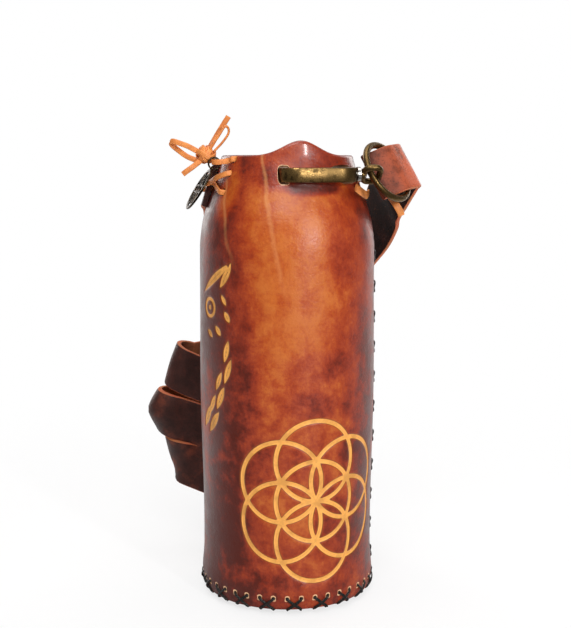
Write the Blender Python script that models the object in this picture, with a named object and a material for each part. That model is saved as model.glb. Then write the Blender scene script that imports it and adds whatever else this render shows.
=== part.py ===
"""A moulded leather case for a metal water bottle, with a laced base and seam, a snap hook on a swivel,
an O-ring and a shoulder strap that lies wound behind the case.

Metres, +Z up. The origin is on the ground under the middle of the case. Angles round the case are
measured from its front, -Y, and grow towards +X."""

import math

import bmesh
import bpy
import numpy as np
from mathutils import Matrix, Vector

CLEARANCE = 0.0003
OVERRUN = 0.002

# Leather tube: radius and height of the outside, and the profile as shares of them
CASE_RADIUS = 0.0402
CASE_HEIGHT = 0.210
WALL = 0.003
EDGE_LIFT = 0.0022
RIM_DROP = 0.0065
RIM_PEAK_ANGLE = math.radians(12)
RIM_PEAK_SPREAD = math.radians(22)
PROFILE_SHARES = (
    (0.0, 0.935), (0.010, 0.965), (0.024, 0.990), (0.052, 1.004), (0.095, 0.985),
    (0.150, 0.980), (0.215, 0.985), (0.310, 0.998), (0.430, 1.007), (0.620, 1.003),
    (0.760, 1.000), (0.786, 0.995), (0.819, 0.973), (0.848, 0.938), (0.880, 0.881),
    (0.905, 0.833), (0.933, 0.7935), (0.967, 0.746), (1.0, 0.729),
)
SHOULDER_SHARE = 0.933
RIM_ROW_SHARES = (0.4, 0.75, 1.0)
WALL_COLUMNS = 48

# Base: a leather disc whose rim turns up, laced to the wall with crossed stitches
BASE_THICKNESS = 0.003
BASE_FLAT_RADIUS = 0.029
BASE_HOLE_RADIUS = 0.0326
BASE_HOLE_HEIGHT = 0.0078
BASE_CROSSES = 20
LACE_DIAMETER = 0.001
LACE_HOLE_DIAMETER = 0.0018
HOLE_SIDES = 5

# Side seam, a butt joint with crossed stitches
SEAM_ANGLE = math.radians(92)
SEAM_GAP = 0.0005
SEAM_CROSSES = 11
SEAM_START = 0.017
SEAM_PITCH_SHARE = 0.0671
SEAM_CROSS_HEIGHT = 0.0048
SEAM_SIDE = 0.0036

# Snap hook: an oval bar, seen from above, with a spring gate on its inner side
HOOK_ANGLE = math.radians(10)
HOOK_HEIGHT_SHARE = 0.93
HOOK_HEIGHT = CASE_HEIGHT * HOOK_HEIGHT_SHARE
HOOK_HALF_SPAN = 0.0067
HOOK_NOSE_U = -0.0007
HOOK_BASE_U = 0.0170
HOOK_BAR_HEIGHT = 0.0064
HOOK_BAR_THICKNESS = 0.0036
HOOK_EDGE = 0.0006
HOOK_HOLE_MARGIN = 0.0016
HOOK_HOLE_ROUNDNESS = 0.6
BASE_HOLE_REACH_SHARE = 0.75
BASE_HOLE_MIDDLE_SHARE = 0.25
NOSE_LIP = 0.0016
GATE_THICKNESS = 0.0026
GATE_HEIGHT = 0.0026
KNUCKLE_RADIUS = 0.0020
EAR_THICKNESS = 0.0009
PIN_RADIUS = 0.0008
SPRING_WIRE = 0.0003
SPRING_RADIUS = 0.00150
SPRING_TURNS = 1.25

# Swivel: post, collar and eye
POST_RADIUS = 0.0013
POST_HEAD_RADIUS = 0.0023
POST_HEAD_THICKNESS = 0.0010
COLLAR_RADIUS = 0.0034
COLLAR_THICKNESS = 0.0014
EYE_ROD = 0.0028
EYE_HOLE_LENGTH = 0.0042
EYE_HOLE_WIDTH = 0.0066
EYE_CORNER = 0.0026
EYE_NECK_RADIUS = 0.0026
EYE_TURN = math.radians(50)

# Ring and the strap round it
RING_TANGENT = Vector((0.445, -0.24, -0.86))
RING_OUTWARD = Vector((0.56, 0.82, 0.09))
STRAP_WIDTH = 0.0225
STRAP_THICKNESS = 0.0025
RING_SLACK = 0.0016
RING_INSIDE = STRAP_WIDTH + RING_SLACK
RING_WIRE = 0.003
STRAP_STEP = 0.005
CUT_RADIUS = 0.0280
FOLD_SHARES = ((-0.50, -1.30), (-0.28, -0.85), (0.0, 0.05), (0.30, 0.90), (0.65, 1.0))
FOLD_TURNS = (75, -15)
STRAP_TURN_SHARE = 0.625

# Strap behind the case: way down from the ring, wound part and way up to its laced end
BUNDLE_CENTRE_SHARES = (-0.26, 1.30)
BUNDLE_HALF_LENGTH = 0.0474
BUNDLE_HALF_WIDTH = 0.0066
BUNDLE_TOP_SHARE = 0.434
BUNDLE_TOP = CASE_HEIGHT * BUNDLE_TOP_SHARE
BUNDLE_TURNS = 2.6
BUNDLE_GAP = 0.0017
BUNDLE_LEAN_SHARE = 0.33
BUNDLE_MIDDLE_DROP = 0.018
BUNDLE_MIDDLE = BUNDLE_TOP - BUNDLE_MIDDLE_DROP
BUNDLE_LEAN_REACH = 0.0275
BUNDLE_LEAN_BEND = 0.004
BUNDLE_RISE_SHARE = 0.35
BUNDLE_RISE_FROM = 0.026
BUNDLE_RISE_BEND = 0.006
BEND_STEPS = 8
STRAIGHT_STEPS = 4
BUNDLE_LEAD_SHARE = 0.02
DOWN_SHARES = (
    (1.205, 0.330, 0.880), (1.175, 0.545, 0.844), (1.080, 0.770, 0.797), (0.915, 0.990, 0.750),
    (0.700, 1.190, 0.690), (0.400, 1.360, 0.620), (0.040, 1.450, 0.560), (-0.350, 1.475, 0.510),
    (-0.750, 1.470, 0.475),
)
UP_SHARES = (
    (0.50, 1.55, 0.120), (0.34, 1.63, 0.140), (0.12, 1.66, 0.230), (-0.12, 1.66, 0.350),
    (-0.40, 1.65, 0.490), (-0.62, 1.62, 0.610), (-0.77, 1.55, 0.695), (-0.88, 1.30, 0.765),
    (-0.93, 0.97, 0.818), (-0.905, 0.63, 0.858),
)
STRAP_END_SHARES = (
    (-0.310, 0.893, 1.40), (-0.280, 0.904, 1.12), (-0.252, 0.909, 0.88), (-0.224, 0.911, 0.80),
)

# Flat lace round the wound strap
TIE_WIDTH = 0.003
TIE_THICKNESS = 0.0010
TIE_AT_SHARE = 0.50

# Lace that holds the strap's end, with a bow and a charm at the left of the rim
LACE_WIDTH = 0.0024
LACE_THICKNESS = 0.0010
LACE_SLOT_RADIUS = 0.0017
LACE_HOLE_SHARES = {
    "upper": (-0.139, 0.962), "middle": (-0.146, 0.932), "lower": (-0.153, 0.893),
    "middle_back": (-0.252, 0.924), "lower_back": (-0.252, 0.896),
}
LACE_PAIRS = (("middle", "lower_back"), ("lower", "middle_back"))
LACE_ON_WALL_TURNS = (-0.175, -0.207)
LACE_OVER_STRAP_TURNS = (-0.220, -0.240)
LACE_INSIDE_SHARES = (0.8, 0.6, 0.4, 0.2)
BOW_TURN_SHARE = -0.192
BOW_HEIGHT_SHARE = 0.9705
BOW_HEIGHT = CASE_HEIGHT * BOW_HEIGHT_SHARE
BOW_STAND_OFF = 0.0088
KNOT_RADIUS = 0.0042
BOW_REACH = 0.0165
BOW_LOOP_SHARES = {
    "left": ((0.29, 0.06, 0.04), (0.48, 0.09, 0.13), (0.70, 0.09, 0.22), (0.86, 0.07, 0.29),
             (0.92, 0.00, 0.30), (0.86, -0.07, 0.26), (0.70, -0.09, 0.16), (0.48, -0.08, 0.03),
             (0.30, -0.05, -0.08)),
    "right": ((-0.19, 0.12, 0.26), (-0.36, 0.17, 0.50), (-0.52, 0.17, 0.74), (-0.61, 0.11, 0.71),
              (-0.61, 0.05, 0.56), (-0.45, 0.02, 0.33), (-0.29, 0.00, 0.14)),
}
BOW_END_SHARES = {
    "left": ((0.20, 0.16, -0.21), (0.34, 0.24, -0.32), (0.48, 0.27, -0.42), (0.60, 0.24, -0.51)),
    "right": ((-0.18, -0.12, 0.32), (-0.28, -0.15, 0.50), (-0.44, -0.17, 0.76), (-0.61, -0.15, 1.02)),
}
STRAND_SHARES = ((0.22, 0.45, 0.10), (0.36, 0.80, 0.32), (0.50, 1.0, 0.60), (0.70, 1.0, 0.74))
JUMP_RING_SHARE = 0.4
CHARM_ANGLE = math.radians(-77)
CHARM_LEAN = math.radians(32)
CHARM_RADIUS = 0.0104
CHARM_THICKNESS = 0.0016
CHARM_RIM = 0.0018
CHARM_HOLE_RADIUS = 0.0026
CHARM_HOLES = 6
CHARM_LUG_RADIUS = 0.0016
CHARM_EYE_RADIUS = 0.0008
JUMP_RING_RADIUS = 0.0030
JUMP_RING_WIRE = 0.0008


def clear_scene():
    for old in list(bpy.data.objects):
        bpy.data.objects.remove(old, do_unlink=True)


def material(name, colour, roughness, metallic=0.0):
    made = bpy.data.materials.new(name)
    made.use_nodes = True
    shader = made.node_tree.nodes["Principled BSDF"]
    linear = [((c / 255 + 0.055) / 1.055) ** 2.4 for c in bytes.fromhex(colour)]
    shader.inputs["Base Color"].default_value = (*linear, 1.0)
    shader.inputs["Roughness"].default_value = roughness
    shader.inputs["Metallic"].default_value = metallic
    return made


def new_object(name, mesh, look=None):
    made = bpy.data.objects.new(name, mesh)
    bpy.context.scene.collection.objects.link(made)
    if look:
        mesh.materials.append(look)
    return made


def mesh_object(name, points, faces, look=None):
    """A closed mesh from points and faces, its normals turned outwards."""
    mesh = bpy.data.meshes.new(name)
    mesh.from_pydata([tuple(p) for p in points], [], [tuple(f) for f in faces])
    work = bmesh.new()
    work.from_mesh(mesh)
    bmesh.ops.recalc_face_normals(work, faces=work.faces)
    work.to_mesh(mesh)
    work.free()
    return new_object(name, mesh, look)


def guide(obj):
    """Marks an object as a cutter only."""
    obj.hide_render = True
    obj.display_type = "WIRE"
    return obj


def boolean(obj, other, operation="DIFFERENCE", solver="EXACT"):
    change = obj.modifiers.new(operation.lower(), "BOOLEAN")
    change.operation = operation
    change.solver = solver
    change.object = guide(other)


def outer_radius(z):
    heights, radii = zip(*PROFILE_SHARES)
    return CASE_RADIUS * float(np.interp(z / CASE_HEIGHT, heights, radii))


def inner_radius(z):
    """The inside of the wall, one wall thickness square to the profile."""
    step = WALL / 2
    slope = (outer_radius(z + step) - outer_radius(z - step)) / (2 * step)
    return outer_radius(z) - WALL * math.hypot(1, slope)


def rim_height(angle):
    turn = (angle - RIM_PEAK_ANGLE + math.pi) % (2 * math.pi) - math.pi
    return CASE_HEIGHT - RIM_DROP * (1 - math.exp(-((turn / RIM_PEAK_SPREAD) ** 2)))


def around(angle, radius, z):
    """The point at an angle from the front, a distance from the middle line and a height."""
    return Vector((radius * math.sin(angle), -radius * math.cos(angle), z))


def on_wall(angle, z, off=0.0):
    return around(angle, outer_radius(z) + off, z)


def swept(name, points, acrosses, section, look, closed=False):
    """Carries a section, given as steps across and along the normal, over a line of points."""
    count, sides = len(points), len(section)
    mesh_points, faces = [], []
    for i, point in enumerate(points):
        before = points[i - 1] if closed or i else point
        after = points[(i + 1) % count] if closed or i < count - 1 else point
        ahead = (after - before).normalized()
        across = (acrosses[i] - ahead * acrosses[i].dot(ahead)).normalized()
        normal = across.cross(ahead)
        mesh_points += [point + across * a + normal * b for a, b in section]
    for i in range(count if closed else count - 1):
        here, there = i * sides, (i + 1) % count * sides
        for j in range(sides):
            k = (j + 1) % sides
            faces.append((here + j, here + k, there + k, there + j))
    if not closed:
        faces.append(tuple(range(sides)))
        faces.append(tuple((count - 1) * sides + j for j in range(sides)))
    return mesh_object(name, mesh_points, faces, look)


def band_section(width, thickness):
    a, b = width / 2, thickness / 2
    return ((-a, -b), (a, -b), (a, b), (-a, b))


def round_section(radius, sides):
    turns = [2 * math.pi * (j + 0.5) / sides for j in range(sides)]
    return [(radius * math.cos(t), radius * math.sin(t)) for t in turns]


def smooth(knots, step):
    """Points every step along a smooth curve through the knots."""
    knots = [Vector(k) for k in knots]
    ends = [knots[0] * 2 - knots[1], *knots, knots[-1] * 2 - knots[-2]]
    line = []
    for a, b, c, d in zip(ends, ends[1:], ends[2:], ends[3:]):
        parts = max(1, round((c - b).length / step))
        for i in range(parts):
            t = i / parts
            line.append(
                (b * 2 + (c - a) * t + (a * 2 - b * 5 + c * 4 - d) * t**2
                 + (b * 3 - a - c * 3 + d) * t**3) / 2
            )
    return [*line, knots[-1]]


def cord(name, points, diameter, look, closed=False):
    """A thin tube along the points."""
    line = bpy.data.curves.new(name, "CURVE")
    line.dimensions = "3D"
    spline = line.splines.new("POLY")
    spline.points.add(len(points) - 1)
    for knot, point in zip(spline.points, points):
        knot.co = (*point, 1)
    spline.use_cyclic_u = closed
    line.bevel_depth = diameter / 2
    line.bevel_resolution = 0
    line.use_fill_caps = not closed
    line.materials.append(look)
    made = bpy.data.objects.new(name, line)
    bpy.context.scene.collection.objects.link(made)
    return made


def extruded(name, outline, place, bottom, top, look=None):
    """An outline in two directions, lifted between two heights. place turns (a, b, c) into a point."""
    count = len(outline)
    points = [place(a, b, c) for c in (bottom, top) for a, b in outline]
    faces = [tuple(range(count)), tuple(range(count, 2 * count))]
    faces += [(i, (i + 1) % count, count + (i + 1) % count, count + i) for i in range(count)]
    return mesh_object(name, points, faces, look)


def arc(centre, radius, start, end, parts):
    """Points on an arc, its angles in degrees."""
    turns = [math.radians(start + (end - start) * i / parts) for i in range(parts + 1)]
    return [(centre[0] + radius * math.cos(t), centre[1] + radius * math.sin(t)) for t in turns]


def rod(name, start, end, radius, sides, look=None):
    """A straight round rod between two points."""
    ahead = (end - start).normalized()
    side = ahead.orthogonal()
    return swept(name, [start, end], [side, side], round_section(radius, sides), look)


def joined_rods(name, rods):
    """Many separate rods as one object: start, end, radius and sides of each."""
    work = bmesh.new()
    for start, end, radius, sides in rods:
        ahead = end - start
        turn = ahead.to_track_quat("Z", "Y").to_matrix().to_4x4()
        bmesh.ops.create_cone(
            work, cap_ends=True, segments=sides, radius1=radius, radius2=radius,
            depth=ahead.length, matrix=Matrix.Translation((start + end) / 2) @ turn,
        )
    mesh = bpy.data.meshes.new(name)
    work.to_mesh(mesh)
    work.free()
    return new_object(name, mesh)


# Snap hook's own directions: u along the bar, n away from the case, w up

HOOK_U = Vector((math.cos(HOOK_ANGLE), math.sin(HOOK_ANGLE), 0))
HOOK_N = Vector((math.sin(HOOK_ANGLE), -math.cos(HOOK_ANGLE), 0))
UP = Vector((0, 0, 1))


def spine_n():
    """The bar's middle, clear of the wall where the bar is lowest and the wall widest."""
    lowest = HOOK_HEIGHT - HOOK_BAR_HEIGHT / 2
    return outer_radius(lowest) + CLEARANCE + HOOK_BAR_THICKNESS / 2


def hook_point(u, n, w=0.0):
    return HOOK_U * u + HOOK_N * n + UP * (HOOK_HEIGHT + w)


def base_holes():
    """Angles of the holes, in pairs, one pair for each crossed stitch."""
    step = math.pi / BASE_CROSSES
    return [(2 * k * step, (2 * k + 1) * step) for k in range(BASE_CROSSES)]


def seam_holes():
    """Low and high heights of each crossed stitch, and the turn from the seam to its holes."""
    middles = [SEAM_START + k * SEAM_PITCH_SHARE * CASE_HEIGHT for k in range(SEAM_CROSSES)]
    half = SEAM_CROSS_HEIGHT / 2
    return [(z - half, z + half, SEAM_SIDE / outer_radius(z)) for z in middles]


def lace_anchor(name):
    """Angle and height of a hole that the tie lace goes through."""
    turn, height = LACE_HOLE_SHARES[name]
    return 2 * math.pi * turn, CASE_HEIGHT * height


def rounded_hole():
    """An outline one unit out each way, between an oval and a rectangle."""
    rounded = [[math.copysign(abs(c) ** HOOK_HOLE_ROUNDNESS, c) for c in point]
               for point in arc((0, 0), 1, 0, 330, 11)]
    return rounded


def radial_hole(angle, z, radius, sides):
    return (
        around(angle, inner_radius(z) - OVERRUN, z),
        around(angle, outer_radius(z) + OVERRUN, z),
        radius,
        sides,
    )


def make_wall(look):
    """The tube: rows of outside points, then rows of inside points, cut open at the seam."""
    half_gap = SEAM_GAP / 2 / CASE_RADIUS
    angles = np.linspace(SEAM_ANGLE + half_gap, SEAM_ANGLE + 2 * math.pi - half_gap, WALL_COLUMNS + 1)
    top = SHOULDER_SHARE * CASE_HEIGHT
    low = [s * CASE_HEIGHT for s, _ in PROFILE_SHARES if EDGE_LIFT < s * CASE_HEIGHT <= top]
    points, faces = [], []
    for angle in angles:
        rim = rim_height(angle)
        heights = [EDGE_LIFT, *low, *(top + (rim - top) * s for s in RIM_ROW_SHARES)]
        points += [around(angle, outer_radius(z), z) for z in heights]
        points += [around(angle, inner_radius(z), z) for z in reversed(heights)]
    rows = len(heights)
    ring = 2 * rows
    for i in range(WALL_COLUMNS):
        for j in range(ring):
            k = (j + 1) % ring
            faces.append((i * ring + j, i * ring + k, (i + 1) * ring + k, (i + 1) * ring + j))
    for column in (0, WALL_COLUMNS):
        at = column * ring
        faces += [(at + j, at + j + 1, at + ring - 2 - j, at + ring - 1 - j) for j in range(rows - 1)]
    wall = mesh_object("case_wall", points, faces, look)

    lace = LACE_HOLE_DIAMETER / 2
    holes = [radial_hole(a, BASE_HOLE_HEIGHT, lace, HOLE_SIDES) for pair in base_holes() for a in pair]
    for low_z, high_z, turn in seam_holes():
        for angle in (SEAM_ANGLE - turn, SEAM_ANGLE + turn):
            holes += [radial_hole(angle, z, lace, HOLE_SIDES) for z in (low_z, high_z)]
    holes += [radial_hole(*lace_anchor(name), LACE_SLOT_RADIUS, 8) for name in LACE_HOLE_SHARES]
    boolean(wall, joined_rods("wall_lace_holes", holes))

    half_height = HOOK_BAR_HEIGHT / 2 + HOOK_HOLE_MARGIN
    gate_n = spine_n() - 2 * HOOK_HALF_SPAN
    nose_u = HOOK_NOSE_U - HOOK_HALF_SPAN + HOOK_HOLE_MARGIN / 2
    across = HOOK_BAR_THICKNESS / 2 + HOOK_HOLE_MARGIN
    cut = extruded(
        "nose_hole", rounded_hole(),
        lambda a, b, c: hook_point(nose_u + a * across, c, b * half_height),
        gate_n, spine_n(),
    )
    boolean(wall, cut)
    middle_u = HOOK_BASE_U + HOOK_HALF_SPAN / 2
    middle_n = gate_n + HOOK_HALF_SPAN * BASE_HOLE_MIDDLE_SHARE
    across = HOOK_HALF_SPAN * BASE_HOLE_REACH_SHARE
    cut = extruded(
        "base_hole", rounded_hole(),
        lambda a, b, c: hook_point(middle_u + c, middle_n + a * across, b * half_height),
        -HOOK_HALF_SPAN, HOOK_HALF_SPAN,
    )
    boolean(wall, cut)


def base_rise(radius):
    """How far the disc's turned-up rim has risen at a radius."""
    rim = inner_radius(EDGE_LIFT) - CLEARANCE
    return EDGE_LIFT * max(0.0, (radius - BASE_FLAT_RADIUS) / (rim - BASE_FLAT_RADIUS))


def make_base(look):
    rim = inner_radius(EDGE_LIFT) - CLEARANCE
    outline = [
        (BASE_FLAT_RADIUS, 0.0), (rim, base_rise(rim)),
        (rim, base_rise(rim) + BASE_THICKNESS), (BASE_FLAT_RADIUS, BASE_THICKNESS),
    ]
    columns = WALL_COLUMNS
    points = [around(2 * math.pi * i / columns, r, z) for i in range(columns) for r, z in outline]
    faces = []
    for i in range(columns):
        here, there = 4 * i, 4 * ((i + 1) % columns)
        faces += [(here + j, here + j + 1, there + j + 1, there + j) for j in range(3)]
    faces.append(tuple(range(0, 4 * columns, 4)))
    faces.append(tuple(range(3, 4 * columns, 4)))
    disc = mesh_object("base_disc", points, faces, look)
    rods = [
        (around(a, BASE_HOLE_RADIUS, -OVERRUN),
         around(a, BASE_HOLE_RADIUS, EDGE_LIFT + BASE_THICKNESS + OVERRUN),
         LACE_HOLE_DIAMETER / 2, HOLE_SIDES)
        for pair in base_holes() for a in pair
    ]
    boolean(disc, joined_rods("disc_lace_holes", rods))


def make_base_lacing(look):
    """One cord through all the holes: out of the wall, down and across, under the edge, up through
    the disc and inside to the next hole. The second leg of each cross lies over the first."""
    off = CLEARANCE + LACE_DIAMETER / 2
    over = off + LACE_DIAMETER + CLEARANCE
    edge = outer_radius(EDGE_LIFT)
    leg_end = EDGE_LIFT + off
    middle_z = (BASE_HOLE_HEIGHT + leg_end) / 2
    under = base_rise(BASE_HOLE_RADIUS) - off
    above = base_rise(BASE_HOLE_RADIUS) + BASE_THICKNESS + off
    aside = (BASE_HOLE_RADIUS + BASE_FLAT_RADIUS) / 2
    inside, outside = inner_radius(BASE_HOLE_HEIGHT) - off, outer_radius(BASE_HOLE_HEIGHT) + off
    points = []
    for a, b in base_holes():
        middle = (a + b) / 2
        for start, end, lift in ((a, b, off), (b, a, over)):
            points += [
                around(start, inside, BASE_HOLE_HEIGHT),
                around(start, outside, BASE_HOLE_HEIGHT),
                on_wall(middle, middle_z, lift),
                on_wall(end, leg_end, off),
                around(end, edge + off, EDGE_LIFT - off),
                around(end, BASE_HOLE_RADIUS, under),
                around(end, BASE_HOLE_RADIUS, above),
            ]
        points.append(around(b, aside, above))
    cord("base_lacing", points, LACE_DIAMETER, look, closed=True)


def make_seam_lacing(look):
    """One cord up the seam, with crossed legs outside and upright legs inside."""
    off = CLEARANCE + LACE_DIAMETER / 2
    points = []
    for low_z, high_z, turn in seam_holes():
        left, right, middle = SEAM_ANGLE - turn, SEAM_ANGLE + turn, (low_z + high_z) / 2
        for side, other, lift in ((left, right, off), (right, left, off + LACE_DIAMETER + CLEARANCE)):
            points += [
                around(side, inner_radius(low_z) - off, low_z),
                on_wall(side, low_z, off),
                on_wall(SEAM_ANGLE, middle, lift),
                on_wall(other, high_z, off),
                around(other, inner_radius(high_z) - off, high_z),
            ]
    cord("seam_lacing", points, LACE_DIAMETER, look)


def make_hook(brass, nickel, steel):
    """The oval bar, its gate, pin and spring. The gate turns on the pin, towards the spine."""
    outside, inside = HOOK_HALF_SPAN + HOOK_BAR_THICKNESS / 2, HOOK_HALF_SPAN - HOOK_BAR_THICKNESS / 2
    middle_n = spine_n() - HOOK_HALF_SPAN
    gate_n = middle_n - HOOK_HALF_SPAN
    nose, base = (HOOK_NOSE_U, middle_n), (HOOK_BASE_U, middle_n)
    lip = HOOK_NOSE_U + NOSE_LIP
    ear = KNUCKLE_RADIUS + CLEARANCE
    outline = [(lip, middle_n - outside)]
    outline += arc(nose, outside, 270, 90, 14)
    outline += arc(base, outside, 90, -90, 14)
    outline += [(HOOK_BASE_U - ear, middle_n - outside), (HOOK_BASE_U - ear, middle_n - inside)]
    outline += arc(base, inside, -90, 90, 10)
    outline += arc(nose, inside, 90, 270, 10)
    outline += [(lip, middle_n - inside)]
    half = HOOK_BAR_HEIGHT / 2
    body = extruded("hook_body", outline, hook_point, -half, half, brass)
    bevel = body.modifiers.new("worn_edges", "BEVEL")
    bevel.width = HOOK_EDGE
    bevel.segments = 1
    bevel.limit_method = "ANGLE"
    bevel.angle_limit = math.radians(50)
    slot_half = half - EAR_THICKNESS
    reach = KNUCKLE_RADIUS + CLEARANCE
    slot = [
        (HOOK_BASE_U - ear - OVERRUN, gate_n - outside), (HOOK_BASE_U + reach, gate_n - outside),
        (HOOK_BASE_U + reach, gate_n + reach), (HOOK_BASE_U - ear - OVERRUN, gate_n + reach),
    ]
    boolean(body, extruded("knuckle_slot", slot, hook_point, -slot_half, slot_half))
    pin_at = (HOOK_BASE_U, gate_n)
    pin_hole = PIN_RADIUS + CLEARANCE
    boolean(body, rod("pin_hole", hook_point(*pin_at, -half - OVERRUN),
                      hook_point(*pin_at, half + OVERRUN), pin_hole, 12))
    post_from = hook_point(HOOK_BASE_U, middle_n)
    post_to = hook_point(HOOK_BASE_U + outside + OVERRUN, middle_n)
    boolean(body, rod("post_hole", post_from, post_to, POST_RADIUS + CLEARANCE, 12))

    rod("gate_pin", hook_point(*pin_at, -half), hook_point(*pin_at, half), PIN_RADIUS, 12, steel)

    reach = math.degrees(math.asin(GATE_THICKNESS / 2 / KNUCKLE_RADIUS))
    gate_tip = lip + CLEARANCE
    gate_outline = [(gate_tip, gate_n + GATE_THICKNESS / 2), (gate_tip, gate_n - GATE_THICKNESS / 2)]
    gate_outline += arc(pin_at, KNUCKLE_RADIUS, 180 + reach, 540 - reach, 16)
    gate = extruded("hook_gate", gate_outline, hook_point, -GATE_HEIGHT / 2, GATE_HEIGHT / 2, brass)
    boolean(gate, rod("gate_hole", hook_point(*pin_at, -half), hook_point(*pin_at, half), pin_hole, 12))

    count = round(12 * SPRING_TURNS)
    floor = GATE_HEIGHT / 2 + SPRING_WIRE
    rise = slot_half - SPRING_WIRE - floor
    coil, sides = [], []
    for i in range(count + 1):
        turn = 2 * math.pi * SPRING_TURNS * i / count
        radial = HOOK_U * math.cos(turn) + HOOK_N * math.sin(turn)
        coil.append(hook_point(*pin_at, floor + rise * i / count) + radial * SPRING_RADIUS)
        sides.append(radial)
    swept("gate_spring", coil, sides, round_section(SPRING_WIRE / 2, 4), steel)

    head = math.sqrt(inside**2 - POST_HEAD_RADIUS**2) + HOOK_BASE_U - CLEARANCE
    shank_end = eye_u() - EYE_HOLE_LENGTH / 2 - CLEARANCE
    profile = [
        (head - POST_HEAD_THICKNESS, 0.0), (head - POST_HEAD_THICKNESS, POST_HEAD_RADIUS),
        (head, POST_HEAD_RADIUS), (head, POST_RADIUS), (shank_end, POST_RADIUS), (shank_end, 0.0),
    ]
    turned_about_u("swivel_post", profile, middle_n, 12, nickel)
    collar = HOOK_BASE_U + outside + CLEARANCE
    ring = [
        (collar, POST_RADIUS + CLEARANCE), (collar, COLLAR_RADIUS),
        (collar + COLLAR_THICKNESS, COLLAR_RADIUS), (collar + COLLAR_THICKNESS, POST_RADIUS + CLEARANCE),
    ]
    turned_about_u("swivel_collar", ring, middle_n, 20, nickel, closed=True)


def turned_about_u(name, profile, n, sides, look, closed=False):
    """Turns a profile of (u, radius) points about the hook's long axis. An open one ends on the axis."""
    work = bmesh.new()
    rings = []
    for u, radius in profile:
        if radius == 0.0:
            rings.append([work.verts.new(hook_point(u, n))] * sides)
            continue
        turns = [2 * math.pi * i / sides for i in range(sides)]
        rings.append([
            work.verts.new(hook_point(u, n + radius * math.cos(t), radius * math.sin(t))) for t in turns
        ])
    pairs = list(zip(rings, rings[1:]))
    if closed:
        pairs.append((rings[-1], rings[0]))
    for first, second in pairs:
        for i in range(sides):
            k = (i + 1) % sides
            corners = [first[i], first[k], second[k], second[i]]
            unique = [c for j, c in enumerate(corners) if c not in corners[:j]]
            work.faces.new(unique)
    bmesh.ops.recalc_face_normals(work, faces=work.faces)
    mesh = bpy.data.meshes.new(name)
    work.to_mesh(mesh)
    work.free()
    return new_object(name, mesh, look)


def eye_u():
    """The middle of the eye's hole, along the hook."""
    collar_end = (HOOK_BASE_U + HOOK_HALF_SPAN + HOOK_BAR_THICKNESS / 2
                  + COLLAR_THICKNESS + 2 * CLEARANCE)
    return collar_end + EYE_ROD + EYE_HOLE_LENGTH / 2


def eye_centre():
    return hook_point(eye_u(), spine_n() - HOOK_HALF_SPAN)


def make_eye(look):
    """A rounded loop of rod whose neck turns on the post."""
    slant = UP * math.cos(EYE_TURN) + HOOK_N * math.sin(EYE_TURN)
    half_u, half_d = (EYE_HOLE_LENGTH + EYE_ROD) / 2, (EYE_HOLE_WIDTH + EYE_ROD) / 2
    flat_u, flat_d = half_u - EYE_CORNER, half_d - EYE_CORNER
    corners = [(flat_u, flat_d, 0), (-flat_u, flat_d, 90), (-flat_u, -flat_d, 180), (flat_u, -flat_d, 270)]
    loop = []
    for u, d, start in corners:
        loop += arc((u, d), EYE_CORNER, start, start + 90, 5)
    centre = eye_centre()
    points = [centre + HOOK_U * u + slant * d for u, d in loop]
    normal = HOOK_U.cross(slant)
    eye = swept("swivel_eye", points, [normal] * len(points), round_section(EYE_ROD / 2, 8), look, True)
    neck_from = centre - HOOK_U * (half_u + EYE_ROD / 2)
    boolean(eye, rod("eye_neck", neck_from, centre - HOOK_U * half_u, EYE_NECK_RADIUS, 12), "UNION")
    boolean(eye, rod("eye_bore", neck_from - HOOK_U * OVERRUN, centre, POST_RADIUS + CLEARANCE, 12))


def ring_frame():
    """The ring's middle, its tangent at the eye, its outward direction and the axis it turns on."""
    along = RING_TANGENT.normalized()
    out = (RING_OUTWARD - along * RING_OUTWARD.dot(along)).normalized()
    radius = (RING_INSIDE + RING_WIRE) / 2
    return eye_centre() + out * radius, along, out, along.cross(out), radius


def make_ring(look):
    middle, along, out, axis, radius = ring_frame()
    turns = [2 * math.pi * i / 36 for i in range(36)]
    points = [middle + (out * math.cos(t) + along * math.sin(t)) * radius for t in turns]
    swept("o_ring", points, [axis] * 36, round_section(RING_WIRE / 2, 8), look, True)


def fold_knots():
    """The strap's way round the ring: its loose end, through the ring and over the outer side."""
    middle, along, out, axis, radius = ring_frame()
    layer = RING_WIRE / 2 + CLEARANCE + STRAP_THICKNESS / 2
    far = radius + CLEARANCE
    flat = [(radius * out_share, layer * lift_share) for out_share, lift_share in FOLD_SHARES]
    flat += arc((far, 0.0), layer, *FOLD_TURNS, 4)
    return [middle + out * p + axis * q for p, q in flat], along


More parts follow.
